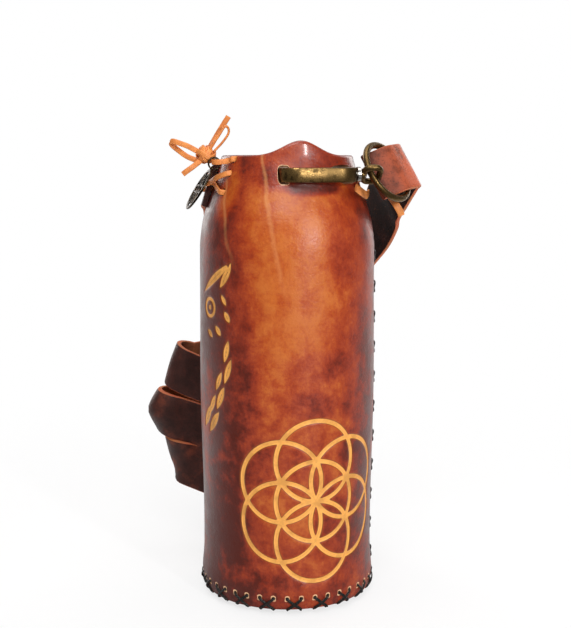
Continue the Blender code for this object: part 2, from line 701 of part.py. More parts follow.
def wound_point(share):
    """The wound strap's middle line after this many turns: an oval seen from above, whose left ends
    rise, reach furthest at one height and lean in above and below it."""
    half, bend = BUNDLE_HALF_LENGTH, BUNDLE_HALF_WIDTH
    straight, end = 2 * (half - bend), math.pi * bend
    along = share % 1.0 * 2 * (straight + end)
    if along < end:
        turn = math.pi / 2 + along / bend
        x, y = -straight / 2 + bend * math.cos(turn), bend * math.sin(turn)
    elif along < end + straight:
        x, y = -straight / 2 + along - end, -bend
    elif along < 2 * end + straight:
        turn = (along - end - straight) / bend - math.pi / 2
        x, y = straight / 2 + bend * math.cos(turn), bend * math.sin(turn)
    else:
        x, y = straight / 2 - (along - 2 * end - straight), bend
    left = -x - BUNDLE_RISE_FROM
    z = BUNDLE_TOP - (STRAP_WIDTH + BUNDLE_GAP) * share
    z += BUNDLE_RISE_SHARE * (left + math.hypot(left, BUNDLE_RISE_BEND)) / 2
    leftness = max(0.0, -x / half)
    lean = BUNDLE_LEAN_REACH - math.hypot(z - BUNDLE_MIDDLE, BUNDLE_LEAN_BEND)
    x -= BUNDLE_LEAN_SHARE * leftness**2 * lean
    centre = [s * CASE_RADIUS for s in BUNDLE_CENTRE_SHARES]
    return Vector((centre[0] + x, centre[1] + y, z))


def wound_across(share):
    """Down the leaning side that the strap lies on."""
    point = wound_point(share)
    leftness = max(0.0, (BUNDLE_CENTRE_SHARES[0] * CASE_RADIUS - point.x) / BUNDLE_HALF_LENGTH)
    above = point.z - BUNDLE_MIDDLE
    slope = BUNDLE_LEAN_SHARE * leftness**2 * above / math.hypot(above, BUNDLE_LEAN_BEND)
    return Vector((-slope, 0, -1))


def wound_shares():
    """Turns at which the wound strap is drawn, closer together round its ends."""
    straight, end = 2 * (BUNDLE_HALF_LENGTH - BUNDLE_HALF_WIDTH), math.pi * BUNDLE_HALF_WIDTH
    bend, run = (length / (straight + end) / 2 for length in (end, straight))
    one = [bend * i / BEND_STEPS for i in range(BEND_STEPS)]
    one += [bend + run * i / STRAIGHT_STEPS for i in range(STRAIGHT_STEPS)]
    turns = [k / 2 + share for k in range(math.ceil(2 * BUNDLE_TURNS)) for share in one]
    inner = [share for share in turns if share < BUNDLE_TURNS - BUNDLE_LEAD_SHARE / 2]
    return [-BUNDLE_LEAD_SHARE, *inner, BUNDLE_TURNS]


def scaled(rows):
    return [Vector((x * CASE_RADIUS, y * CASE_RADIUS, z * CASE_HEIGHT)) for x, y, z in rows]


def pulled_back(points):
    """The same line, its last point drawn back by the clearance."""
    last = points[-1] - points[-2]
    return [*points[:-1], points[-1] - last.normalized() * CLEARANCE]


def make_strap(look):
    """The strap in four lengths: round the ring, down, wound, and up to its laced end. The cut
    between the first two lies on a cylinder about the swivel, so the first can turn with it."""
    section = band_section(STRAP_WIDTH, STRAP_THICKNESS)
    knots, along = fold_knots()
    joint = [wound_point(-2 * BUNDLE_LEAD_SHARE), wound_point(-BUNDLE_LEAD_SHARE)]
    line = smooth([*knots, *scaled(DOWN_SHARES), *joint], STRAP_STEP)
    axis_at = eye_centre()
    gaps = [(p - axis_at - HOOK_U * (p - axis_at).dot(HOOK_U)).length for p in line]
    cut = max(i for i, gap in enumerate(gaps) if gap < CUT_RADIUS)
    hints = []
    for i in range(len(line)):
        share = min(1.0, max(0.0, (i - cut) / (len(line) - cut) / STRAP_TURN_SHARE))
        hints.append(along * (1 - share) - UP * share)
    far = 3 * CUT_RADIUS
    first = swept("strap_ring_fold", line[: cut + 5], hints[: cut + 5], section, look)
    boolean(first, rod("fold_limit", axis_at - HOOK_U * far, axis_at + HOOK_U * far, CUT_RADIUS, 48),
            "INTERSECT", "MANIFOLD")
    start = cut - 1
    second = swept("strap_down", pulled_back(line[start:]), hints[start:], section, look)
    boolean(second, rod("down_limit", axis_at - HOOK_U * far, axis_at + HOOK_U * far,
                        CUT_RADIUS + CLEARANCE, 48), solver="MANIFOLD")

    shares = wound_shares()
    wound = [wound_point(s) for s in shares]
    acrosses = [wound_across(s).normalized() for s in shares]
    coil = swept("strap_wound", wound, acrosses, section, look)
    corners = np.array([tuple(v.co) for v in coil.data.vertices]).reshape(len(shares), len(section), -1)
    apart = np.abs(np.subtract.outer(shares, shares)) > 0.5
    gaps = np.linalg.norm(corners[:, None, :, None] - corners[None, :, None, :], axis=-1)
    print(f"strap_wound: least gap to itself {gaps[apart].min() * 1000:.2f} mm")

    ends = []
    for turn, height, stand in STRAP_END_SHARES:
        ends.append(on_wall(2 * math.pi * turn, height * CASE_HEIGHT, stand * STRAP_THICKNESS))
    ahead = (wound[-1] - wound[-2]).normalized()
    leave = [wound[-1] + ahead * CLEARANCE, wound[-1] + ahead * STRAP_STEP]
    line = smooth([*leave, *scaled(UP_SHARES), *ends], STRAP_STEP)
    top, bottom = (s * CASE_HEIGHT for s in (STRAP_END_SHARES[-1][1], STRAP_END_SHARES[0][1]))
    slope = (outer_radius(top - STRAP_WIDTH / 2) - outer_radius(top + STRAP_WIDTH / 2)) / STRAP_WIDTH
    hints = []
    for point in line:
        share = min(1.0, max(0.0, point.z / bottom * 3 - 2))
        hints.append(Vector((point.x, point.y, 0)).normalized() * slope * share - UP)
    last = swept("strap_up", line, hints, section, look)
    holes = []
    for name in ("middle_back", "lower_back"):
        angle, z = lace_anchor(name)
        holes.append((around(angle, inner_radius(z), z),
                      around(angle, outer_radius(z) + 2 * STRAP_THICKNESS, z), LACE_SLOT_RADIUS, 8))
    boolean(last, joined_rods("strap_lace_holes", holes))


def on_joint(name, place, *pieces):
    """An empty on a joint's axis carries the pieces that move with it."""
    carrier = bpy.data.objects.new(name, None)
    bpy.context.scene.collection.objects.link(carrier)
    carrier.location = place
    for piece in pieces:
        moving = bpy.data.objects[piece]
        moving.parent = carrier
        moving.location = -place
    return carrier


def make_bundle_tie(look):
    """A closed flat lace round the wound strap, front to back."""
    half, bend = BUNDLE_HALF_LENGTH, BUNDLE_HALF_WIDTH
    centre_x, centre_y = (s * CASE_RADIUS for s in BUNDLE_CENTRE_SHARES)
    x = centre_x + half * TIE_AT_SHARE
    off = STRAP_THICKNESS / 2 + CLEARANCE + TIE_THICKNESS / 2
    front, back = centre_y - bend - off, centre_y + bend + off
    straight, end = 2 * (half - bend), math.pi * bend
    share = (end + straight / 2 + half * TIE_AT_SHARE) / (straight + end) / 2
    pitch = STRAP_WIDTH + BUNDLE_GAP
    top = BUNDLE_TOP - share * pitch + STRAP_WIDTH / 2 + off + TIE_THICKNESS
    low = BUNDLE_TOP - BUNDLE_TURNS * pitch - STRAP_WIDTH / 2 - off
    corner = TIE_WIDTH
    loop = []
    for y, z, start in ((back - corner, top - corner, 0), (front + corner, top - corner, 90),
                        (front + corner, low + corner, 180), (back - corner, low + corner, 270)):
        loop += arc((y, z), corner, start, start + 90, 4)
    points = [Vector((x, y, z)) for y, z in loop]
    across = Vector((1, 0, 0))
    swept("bundle_tie", points, [across] * len(points), band_section(TIE_WIDTH, TIE_THICKNESS), look, True)


def bow_centre():
    angle = 2 * math.pi * BOW_TURN_SHARE
    return on_wall(angle, BOW_HEIGHT, BOW_STAND_OFF)


def lace_band(name, points, across, look, closed=False):
    section = band_section(LACE_WIDTH, LACE_THICKNESS)
    return swept(name, points, [across] * len(points), section, look, closed)


def make_end_laces(look):
    """Two closed laces that cross on the wall, each out of a hole in it, over the strap's end, in
    through both and back."""
    low = LACE_THICKNESS / 2 + 2 * CLEARANCE
    over = low + STRAP_THICKNESS + 2 * CLEARANCE
    for (front, back), extra in zip(LACE_PAIRS, (LACE_THICKNESS + 3 * CLEARANCE, 0.0)):
        (a, za), (b, zb) = lace_anchor(front), lace_anchor(back)

        def between(share):
            return a + (b - a) * share, za + (zb - za) * share

        outside = [on_wall(a, za, low)]
        for turns, lift in ((LACE_ON_WALL_TURNS, low), (LACE_OVER_STRAP_TURNS, over)):
            for turn in turns:
                angle, z = between((2 * math.pi * turn - a) / (b - a))
                outside.append(on_wall(angle, z, lift + extra))
        outside.append(on_wall(b, zb, over + extra + CLEARANCE))
        inside = [around(b, inner_radius(zb) - low, zb)]
        for share in LACE_INSIDE_SHARES:
            angle, z = between(share)
            inside.append(around(angle, inner_radius(z) - low - extra, z))
        inside.append(around(a, inner_radius(za) - low, za))
        along = (outside[-1] - outside[0]).normalized()
        across = along.cross(around((a + b) / 2, 1, 0))
        lace_band(f"end_lace_{front}", [*outside, *inside], across, look, True)


def make_bow(look):
    """The knot, its loops and ends, and the strand that comes to it from the wall."""
    centre = bow_centre()
    knot = bpy.data.meshes.new("bow_knot")
    work = bmesh.new()
    bmesh.ops.create_icosphere(work, subdivisions=2, radius=KNOT_RADIUS)
    bmesh.ops.translate(work, verts=work.verts, vec=centre)
    work.to_mesh(knot)
    work.free()
    new_object("bow_knot", knot, look)
    left, toward = Vector((-1, 0, 0)), Vector((0, -1, 0))

    def place(rows):
        return [centre + (left * a + UP * c + toward * b) * BOW_REACH for a, b, c in rows]

    lines = {f"bow_loop_{side}": rows for side, rows in BOW_LOOP_SHARES.items()}
    lines.update({f"bow_end_{side}": rows for side, rows in BOW_END_SHARES.items()})
    for name, rows in lines.items():
        points = smooth(place(rows), LACE_WIDTH)
        reach = points[len(points) // 2] - points[0]
        across = toward if name == "bow_loop_right" else toward.cross(reach)
        lace_band(name, points, across, look)

    angle, z = lace_anchor("upper")
    bow = 2 * math.pi * BOW_TURN_SHARE
    off = LACE_THICKNESS / 2 + CLEARANCE
    drop = BOW_HEIGHT - KNOT_RADIUS + LACE_THICKNESS - z
    strand = [around(angle, inner_radius(z) - off, z), on_wall(angle, z, off + CLEARANCE)]
    for turned, dropped, out in STRAND_SHARES:
        strand.append(on_wall(angle + (bow - angle) * turned, z + drop * dropped, BOW_STAND_OFF * out))
    lace_band("bow_strand", strand, UP, look)
    return strand


def charm_frame(strand):
    """Where the jump ring hangs on the strand, and the charm's down, sideways and facing directions."""
    rests = strand[-2].lerp(strand[-1], JUMP_RING_SHARE)
    outward = around(CHARM_ANGLE, 1, 0)
    down = outward * math.sin(CHARM_LEAN) - UP * math.cos(CHARM_LEAN)
    facing = outward * math.cos(CHARM_LEAN) + UP * math.sin(CHARM_LEAN)
    return rests, down, facing, facing.cross(down)


def make_charm(strand, look, dark):
    rests, down, facing, side = charm_frame(strand)
    inner = JUMP_RING_RADIUS - JUMP_RING_WIRE
    middle = rests + down * (inner - LACE_WIDTH / 2 - CLEARANCE)
    radius = JUMP_RING_RADIUS - JUMP_RING_WIRE / 2
    turns = [2 * math.pi * i / 20 for i in range(20)]
    points = [middle + (down * math.cos(t) + facing * math.sin(t)) * radius for t in turns]
    swept("jump_ring", points, [side] * 20, round_section(JUMP_RING_WIRE / 2, 6), dark, True)

    eye = middle + down * (radius + CHARM_EYE_RADIUS - JUMP_RING_WIRE / 2 - CLEARANCE)
    centre = eye + down * CHARM_RADIUS
    half = facing * CHARM_THICKNESS / 2
    disc = rod("charm", centre - half, centre + half, CHARM_RADIUS, 36, look)
    boolean(disc, rod("charm_lug", eye - half, eye + half, CHARM_LUG_RADIUS, 14), "UNION")
    circle = CHARM_RADIUS - CHARM_RIM - CHARM_HOLE_RADIUS
    places = [centre]
    for k in range(CHARM_HOLES):
        turn = 2 * math.pi * k / CHARM_HOLES
        places.append(centre + (down * math.sin(turn) + side * math.cos(turn)) * circle)
    holes = [(at - 2 * half, at + 2 * half, CHARM_HOLE_RADIUS, 10) for at in places]
    holes.append((eye - 2 * half, eye + 2 * half, CHARM_EYE_RADIUS, 10))
    boolean(disc, joined_rods("charm_holes", holes))


def build():
    clear_scene()
    leather = material("moulded_leather", "8a3c14", 0.35)
    sole = material("sole_leather", "5c2a14", 0.55)
    thread = material("waxed_thread", "14100e", 0.5)
    brass = material("antique_brass", "7d6a3c", 0.35, 1.0)
    nickel = material("nickel", "c8c4bc", 0.25, 1.0)
    steel = material("spring_steel", "8c8c8c", 0.3, 1.0)
    dark = material("blackened_brass", "2a2620", 0.4, 1.0)
    strap_leather = material("strap_leather", "6e3226", 0.4)
    lace = material("lace_leather", "c87a3c", 0.6)
    make_wall(leather)
    make_base(sole)
    make_base_lacing(thread)
    make_seam_lacing(thread)
    make_hook(brass, nickel, steel)
    make_eye(brass)
    make_ring(brass)
    make_strap(strap_leather)
    make_bundle_tie(lace)
    make_end_laces(lace)
    strand = make_bow(lace)
    make_charm(strand, brass, dark)

    on_joint("gate_axis", hook_point(HOOK_BASE_U, spine_n() - 2 * HOOK_HALF_SPAN), "hook_gate")
    on_joint("swivel_axis", eye_centre(), "swivel_eye", "strap_ring_fold")
    on_joint("ring_axis", ring_frame()[0], "o_ring")
    on_joint("charm_axis", charm_frame(strand)[0], "jump_ring", "charm")


build()
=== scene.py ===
"""Looks of a moulded leather water bottle case with a snap hook, an O-ring and a wound shoulder strap.

Metres, +Z up, the case stands on the origin and its front looks along -Y. Angles round the case are
measured from the front and grow towards +X."""

import math

import bmesh
import bpy
import numpy as np
from bpy.props import FloatProperty, FloatVectorProperty, IntProperty, PointerProperty
from mathutils import Matrix, Vector


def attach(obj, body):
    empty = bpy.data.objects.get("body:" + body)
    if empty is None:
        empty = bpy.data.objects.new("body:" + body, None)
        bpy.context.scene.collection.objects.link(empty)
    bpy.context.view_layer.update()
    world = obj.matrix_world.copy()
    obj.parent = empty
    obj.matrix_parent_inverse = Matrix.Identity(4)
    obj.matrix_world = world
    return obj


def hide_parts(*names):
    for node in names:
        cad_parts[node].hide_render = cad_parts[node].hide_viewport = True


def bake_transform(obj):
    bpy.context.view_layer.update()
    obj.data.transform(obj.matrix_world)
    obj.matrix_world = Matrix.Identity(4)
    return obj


bl_info = {
    "name": "Leather Bottle Case",
    "version": (1, 0, 0),
    "blender": (4, 5, 0),
    "location": "3D View > Sidebar > Bottle Case",
    "description": "Makes the leather, laces, strap and fittings of a water bottle case",
    "category": "Add Mesh",
}

MM = 0.001

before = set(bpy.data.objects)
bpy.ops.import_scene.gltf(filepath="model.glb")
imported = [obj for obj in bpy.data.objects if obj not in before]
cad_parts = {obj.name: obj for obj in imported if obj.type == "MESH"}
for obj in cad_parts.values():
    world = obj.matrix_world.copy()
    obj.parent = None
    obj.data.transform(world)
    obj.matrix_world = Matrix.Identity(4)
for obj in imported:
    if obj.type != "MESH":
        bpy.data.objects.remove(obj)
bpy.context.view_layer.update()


# Sizes and colours that a user would change


def length(name, description, default):
    return FloatProperty(name=name, description=description, default=default, unit="LENGTH", precision=5)


def linear(code):
    """sRGB hex to linear colour."""
    parts = np.array(list(bytes.fromhex(code))) / 255
    return tuple(np.where(parts <= 0.04045, parts / 12.92, ((parts + 0.055) / 1.055) ** 2.4))


def colour(name, description, code):
    return FloatVectorProperty(
        name=name, description=description, default=linear(code), subtype="COLOR", min=0, max=1
    )


class CaseSizes(bpy.types.PropertyGroup):
    radius: length("Radius", "Outside radius of the leather tube", 0.0402)
    height: length("Height", "Height of the rim's peak", 0.210)
    wall: length("Wall", "Thickness of the moulded leather", 0.003)
    edge_lift: length("Edge Lift", "Height of the tube's lower edge", 0.0022)
    rim_drop: length("Rim Drop", "How far the rim lies below its peak", 0.0065)
    lace_hole: length("Lace Hole", "Diameter of the holes for the thread", 0.0018)
    carve_depth: length("Carve Depth", "Depth of the cut lines", 0.0004)
    rosette_radius: length("Rosette Radius", "Radius of each circle of the rosette", 0.0183)
    line_width: length("Line Width", "Width of the cut lines", 0.0019)
    columns: IntProperty(name="Columns", description="Columns of faces round the tube", default=300)


class HookSizes(bpy.types.PropertyGroup):
    height: length("Height", "Height of the hook's middle line", 0.1953)
    half_span: length("Half Span", "Half the distance between spine and gate", 0.0067)
    bar_height: length("Bar Height", "Height of the hook's bar", 0.0064)
    bar_thickness: length("Bar Thickness", "Thickness of the hook's bar", 0.0036)
    ring_inside: length("Ring Inside", "Inside diameter of the O-ring", 0.0241)
    ring_wire: length("Ring Wire", "Wire diameter of the O-ring", 0.003)
    eye_rod: length("Eye Rod", "Rod diameter of the swivel's eye", 0.0028)


class StrapSizes(bpy.types.PropertyGroup):
    width: length("Width", "Width of the shoulder strap", 0.0225)
    thickness: length("Thickness", "Thickness of the shoulder strap", 0.0025)
    lace_width: length("Lace Width", "Width of the tan laces", 0.0024)
    lace_thickness: length("Lace Thickness", "Thickness of the tan laces", 0.001)
    thread: length("Thread", "Diameter of the waxed thread", 0.0011)


class CaseColours(bpy.types.PropertyGroup):
    # The dyes are graded across the front, light in its middle and deep at its sides: partly dye, partly
    # painted shade.
    leather_light: colour("Leather Light", "Thin dye on the high places", "c66a1f")
    leather_mid: colour("Leather Mid", "Usual dye", "ae420f")
    leather_dark: colour("Leather Dark", "Clouds of thick dye", "90290e")
    leather_deep: colour("Leather Deep", "Thickest dye at the sides and foot", "4a180e")
    leather_crease: colour("Leather Crease", "Stretched lines in the dye", "e8a263")
    cut_light: colour("Cut Leather", "Undyed leather in the cut lines", "f7ae50")
    cut_shade: colour("Cut Shade", "Burnished leather in the cut lines", "d08f40")
    hole_rim: colour("Hole Rim", "Raw leather round the laced holes", "f2bf90")
    flesh: colour("Flesh Side", "Rough inner side of the leather", "6a4a34")
    strap_grain: colour("Strap Grain", "Outer side of the strap", "46231c")
    # Also the painted highlight on the strap's fold round the ring.
    strap_wear_and_highlight: colour("Strap Worn", "Rubbed places of the strap", "c45e3b")
    strap_flesh: colour("Strap Flesh", "Inner side of the strap", "1d1310")
    strap_edge: colour("Strap Edge", "Raw edge of the strap", "b56c40")
    lace: colour("Lace", "Tan lace leather", "ea9148")
    lace_shade: colour("Lace Shade", "Bent and rubbed places of the lace", "b8602a")
    thread: colour("Thread", "Waxed thread", "15110f")
    brass: colour("Brass", "Rubbed antique brass", "a88652")
    patina: colour("Patina", "Dark patina on the brass", "2e2415")
    black: colour("Blackened Brass", "Blackened brass where it is rubbed", "463a2a")
    soot: colour("Black Patina", "Black in the charm's low places", "15110e")
    nickel: colour("Nickel", "Nickel plate", "cfcac2")


# Curves and grids


def smooth(knots, spacing):
    """Catmull-Rom curve: between two knots the point is half of (2b + (c-a)t + (2a-5b+4c-d)t^2 +
    (3b-a-3c+d)t^3), sampled at even steps of the chord length. Carries any number of columns."""
    knots = np.asarray(knots, float)
    chords = np.linalg.norm(np.diff(knots[:, :3], axis=0), axis=1)
    marks = np.concatenate([[0], np.cumsum(chords)])
    at = np.linspace(0, marks[-1], max(2, round(marks[-1] / spacing) + 1))
    part = np.clip(np.searchsorted(marks, at, side="right") - 1, 0, len(chords) - 1)
    t = ((at - marks[part]) / chords[part])[:, None]
    ends = np.vstack([2 * knots[0] - knots[1], knots, 2 * knots[-1] - knots[-2]])
    a, b, c, d = (ends[part + i] for i in range(4))
    return (2 * b + (c - a) * t + (2 * a - 5 * b + 4 * c - d) * t**2 + (3 * b - a - 3 * c + d) * t**3) / 2


def unit(rows):
    """Each row divided by its length."""
    return rows / np.linalg.norm(rows, axis=-1, keepdims=True)


def ring_curve(rows, spacing, window):
    """Closed curve through the rows: smoothed past both ends, then cut where it is back at its start,
    which is looked for within a window of points at each end."""
    long = smooth(np.vstack([rows[-2:], rows, rows[:3]]), spacing)
    gap = np.linalg.norm(long[:, :3] - rows[0, :3], axis=1)
    back = min(window, len(long) // 2)
    return long[np.argmin(gap[:window]):len(long) - back + np.argmin(gap[-back:])]


def crowded(low, high, count, first, last, extra):
    """Numbers from low to high, closer together between first and last: a density added up and shared."""
    fine = np.linspace(low, high, 4001)
    density = 1 + extra * ((fine > first) & (fine < last))
    total = np.concatenate([[0], np.cumsum((density[1:] + density[:-1]) / 2)])
    return np.interp(np.linspace(0, total[-1], count), total, fine)


def carried(path, across, section, closed=False):
    """Profile carried along a path: point + across * a + normal * b, with the normal square to both the
    path's direction and the across direction. section is (M, 2), or (N, M, 2) where it changes."""
    if closed:
        ahead = unit(np.roll(path, -1, 0) - np.roll(path, 1, 0))
    else:
        ahead = unit(np.gradient(path, axis=0))
    across = np.broadcast_to(across, path.shape)
    across = unit(across - ahead * (across * ahead).sum(1, keepdims=True))
    normal = np.cross(across, ahead)
    section = np.broadcast_to(section, (len(path), *np.shape(section)[-2:]))
    return path[:, None] + across[:, None] * section[..., :1] + normal[:, None] * section[..., 1:]


def full_turn(count):
    """Even angles of a whole turn."""
    return np.linspace(0, 2 * math.pi, count, endpoint=False)


def round_section(radius, sides):
    return radius * compass(full_turn(sides))


def compass(angle):
    """Points of a circle of radius 1: cos and sin of each angle."""
    return np.stack([np.cos(angle), np.sin(angle)], 1)


def rounded_loop(half, corner, count):
    """Rectangle of two half widths with rounded corners: each corner is a quarter circle, of a number of
    points, about a point set in from it."""
    quarters = []
    for start, signs in zip((0, 90, 180, 270), ((1, 1), (-1, 1), (-1, -1), (1, -1))):
        angle = np.radians(np.linspace(start, start + 90, count))
        quarters.append((half - corner) * signs + corner * compass(angle))
    return np.concatenate(quarters)


def band_section(width, thickness, rounding, count):
    """A band's cross-section, its rounding held to just under half its thickness."""
    return rounded_loop(np.array((width, thickness)) / 2, min(rounding, thickness / 2 - 1e-6), count)


def edge_divided(section, parts):
    """Adds points along a section's long sides, so that it can be bent or dented."""
    following = np.roll(section, -1, 0)
    long = np.linalg.norm(following - section, axis=1) > 3 * np.abs(section[:, 1]).max()
    rows = []
    for here, there, divide in zip(section, following, long):
        steps = np.linspace(0, 1, parts, endpoint=False)[:, None] if divide else np.zeros((1, 1))
        rows.append(here + (there - here) * steps)
    return np.concatenate(rows)


def grid_object(name, grid, looks, closed=False, flat=None, smooth_angle=40, face_look=None):
    """Mesh from a grid of points (N, M, 3) that is closed round M, and along N where closed is true.
    An open one is capped. flat is a UV value for each point, face_look a material index for each face."""
    n, m = grid.shape[:2]
    index = np.arange(n * m).reshape(n, m)
    here = index if closed else index[:-1]
    there = np.roll(index, -1, 0) if closed else index[1:]
    quads = np.stack([here, np.roll(here, -1, 1), np.roll(there, -1, 1), there], -1).reshape(-1, 4)
    faces = quads.tolist()
    if not closed:
        faces += [index[0, ::-1].tolist(), index[-1].tolist()]
    return mesh_object(name, grid.reshape(-1, 3), faces, looks, flat, smooth_angle, face_look)


def mesh_object(name, points, faces, looks, flat=None, smooth_angle=40, face_look=None):
    mesh = bpy.data.meshes.new(name)
    mesh.from_pydata(points.tolist(), [], faces)
    for look in looks:
        mesh.materials.append(look)
    if face_look is not None:
        padded = np.zeros(len(mesh.polygons), np.int32)
        padded[: len(face_look)] = face_look
        mesh.polygons.foreach_set("material_index", padded)
    if flat is not None:
        lay_flat(mesh, flat)
    work = bmesh.new()
    work.from_mesh(mesh)
    bmesh.ops.recalc_face_normals(work, faces=work.faces)
    work.to_mesh(mesh)
    work.free()
    soften(mesh, smooth_angle)
    made = bpy.data.objects.new(name, mesh)
    bpy.context.scene.collection.objects.link(made)
    return made


def lay_flat(mesh, flat):
    """UV map in metres from one value for each point."""
    layer = mesh.uv_layers.get("flat") or mesh.uv_layers.new(name="flat")
    corner = np.empty(len(mesh.loops), np.int32)
    mesh.loops.foreach_get("vertex_index", corner)
    layer.data.foreach_set("uv", np.asarray(flat, np.float32).reshape(-1, 2)[corner].ravel())


def soften(mesh, degrees):
    mesh.polygons.foreach_set("use_smooth", np.ones(len(mesh.polygons), bool))
    mesh.set_sharp_from_angle(angle=math.radians(degrees))


def point_value(mesh, name, values):
    attribute = mesh.attributes.get(name) or mesh.attributes.new(name, "FLOAT", "POINT")
    attribute.data.foreach_set("value", values.astype(np.float32))


def places(mesh):
    points = np.empty(len(mesh.vertices) * 3, np.float32)
    mesh.vertices.foreach_get("co", points)
    return points.reshape(-1, 3).astype(float)


def cut_out(obj, *cutters):
    """Takes the cutters out of an object with exact Booleans, and applies them."""
    for cutter in cutters:
        change = obj.modifiers.new("cut", "BOOLEAN")
        change.operation = "DIFFERENCE"
        change.object = cutter
        change.material_mode = "TRANSFER"
    graph = bpy.context.evaluated_depsgraph_get()
    mesh = bpy.data.meshes.new_from_object(obj.evaluated_get(graph))
    obj.modifiers.clear()
    obj.data = mesh
    for cutter in cutters:
        bpy.data.objects.remove(cutter, do_unlink=True)


def rods(name, starts, ends, radius, sides, looks):
    """Separate round rods in one mesh: each rod's two circles are its end points plus a turned section."""
    ahead = unit(ends - starts)
    side = unit(np.cross(ahead, (0.3, 0.5, 0.81)))
    other = np.cross(ahead, side)
    ring = round_section(1.0, sides)
    off = side[:, None] * ring[None, :, :1] + other[:, None] * ring[None, :, 1:]
    radius = np.broadcast_to(radius, len(starts))[:, None, None]
    points = np.stack([starts[:, None] + off * radius, ends[:, None] + off * radius], 1)
    index = np.arange(points.size // 3).reshape(len(starts), 2, sides)
    low, high = index[:, 0], index[:, 1]
    quads = np.stack([low, np.roll(low, -1, 1), np.roll(high, -1, 1), high], -1).reshape(-1, 4)
    faces = quads.tolist() + low[:, ::-1].tolist() + high.tolist()
    return mesh_object(name, points.reshape(-1, 3), faces, looks)


def finished(obj, body, slot, *nodes):
    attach(obj, body)
    if nodes:
        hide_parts(*nodes)
    return obj


# Shape of the case

PROFILE = np.array((
    (0.0, 0.935), (0.010, 0.965), (0.024, 0.990), (0.052, 1.004), (0.095, 0.985),
    (0.150, 0.980), (0.215, 0.985), (0.310, 0.998), (0.430, 1.007), (0.620, 1.003),
    (0.760, 1.000), (0.786, 0.995), (0.819, 0.973), (0.848, 0.938), (0.880, 0.881),
    (0.905, 0.833), (0.933, 0.7935), (0.967, 0.746), (1.0, 0.729),
))
FINE_PROFILE = smooth(PROFILE, 0.002)
RIM_PEAK_ANGLE, RIM_PEAK_SPREAD = math.radians(12), math.radians(22)
SEAM_ANGLE = math.radians(92)
SEAM_GAP = 0.5 * MM
CLEAR = 0.3 * MM
BASE_CROSSES = 20
BASE_HOLE_HEIGHT, BASE_HOLE_RADIUS, BASE_FLAT_RADIUS = 7.8 * MM, 32.6 * MM, 29 * MM
SEAM_CROSSES, SEAM_START, SEAM_PITCH = 11, 17 * MM, 14.091 * MM
SEAM_CROSS_HEIGHT, SEAM_SIDE = 4.8 * MM, 3.6 * MM
SEAM_VALLEY_DEPTH, SEAM_VALLEY_REACH = 0.55 * MM, 5 * MM
HOOK_ANGLE = math.radians(10)
HOOK_NOSE_U, HOOK_BASE_U, HOOK_HOLE_MARGIN = -0.7 * MM, 17 * MM, 0.9 * MM
# Hole name: turns round the case from the front, and share of its height
LACE_HOLES = {
    "upper": (-0.139, 0.962), "middle": (-0.146, 0.932), "lower": (-0.153, 0.893),
    "middle_back": (-0.252, 0.924), "lower_back": (-0.252, 0.896),
}
LACE_PAIRS = (("middle", "lower_back"), ("lower", "middle_back"))
LACE_ON_WALL_TURNS = (-0.175, -0.207)
LACE_OVER_STRAP_TURNS = (-0.220, -0.240)
LACE_SLOT_RADIUS = 1.7 * MM
ROSETTE_ANGLE, ROSETTE_HEIGHT = math.radians(18.7), 52.2 * MM


def outer_radius(z):
    """Radius of the moulded tube at a height: a curve through the profile's points."""
    case = bpy.context.scene.case_sizes
    share = np.clip(np.asarray(z, float) / case.height, 0, 1)
    return case.radius * np.interp(share, FINE_PROFILE[:, 0], FINE_PROFILE[:, 1])


def inner_radius(z):
    """Inside of the wall, one wall thickness square to the profile."""
    case = bpy.context.scene.case_sizes
    step = case.wall / 2
    slope = (outer_radius(z + step) - outer_radius(z - step)) / (2 * step)
    return outer_radius(z) - case.wall * np.hypot(1, slope)


def rim_height(angle):
    """Height of the rim: a soft peak, a bell curve about its middle, above an even rim."""
    case = bpy.context.scene.case_sizes
    turn = (angle - RIM_PEAK_ANGLE + math.pi) % (2 * math.pi) - math.pi
    return case.height - case.rim_drop * (1 - np.exp(-((turn / RIM_PEAK_SPREAD) ** 2)))


def around(angle, radius, z):
    angle, radius, z = np.broadcast_arrays(*(np.asarray(v, float) for v in (angle, radius, z)))
    return np.stack([radius * np.sin(angle), -radius * np.cos(angle), z], -1)


def on_wall(angle, z, off=0.0):
    return around(angle, outer_radius(z) + off, z)


def hook_axes():
    u = np.array((math.cos(HOOK_ANGLE), math.sin(HOOK_ANGLE), 0))
    n = np.array((math.sin(HOOK_ANGLE), -math.cos(HOOK_ANGLE), 0))
    return u, n, np.array((0, 0, 1.0))


def spine_n():
    hook = bpy.context.scene.hook_sizes
    return float(outer_radius(hook.height - hook.bar_height / 2)) + CLEAR + hook.bar_thickness / 2


def hook_point(u, n, w=0.0):
    along, out, up = hook_axes()
    u, n, w = (np.asarray(v, float)[..., None] for v in (u, n, w))
    return along * u + out * n + up * (w + bpy.context.scene.hook_sizes.height)


def seam_crosses():
    middles = SEAM_START + np.arange(SEAM_CROSSES) * SEAM_PITCH
    return middles, SEAM_SIDE / outer_radius(middles)


def foot_hole_angles():
    return np.arange(2 * BASE_CROSSES) * math.pi / BASE_CROSSES


def nose_hole():
    """The hole that the hook's nose goes through: its middle along the hook, half its width and height."""
    hook = bpy.context.scene.hook_sizes
    return (HOOK_NOSE_U - hook.half_span + HOOK_HOLE_MARGIN / 2, hook.bar_thickness / 2 + HOOK_HOLE_MARGIN,
            hook.bar_height / 2 + HOOK_HOLE_MARGIN)


def lace_anchor(name):
    turn, height = LACE_HOLES[name]
    return 2 * math.pi * turn, height * bpy.context.scene.case_sizes.height


# Cut decoration, worked out as distances in metres on the unrolled wall

FAR = 1.0
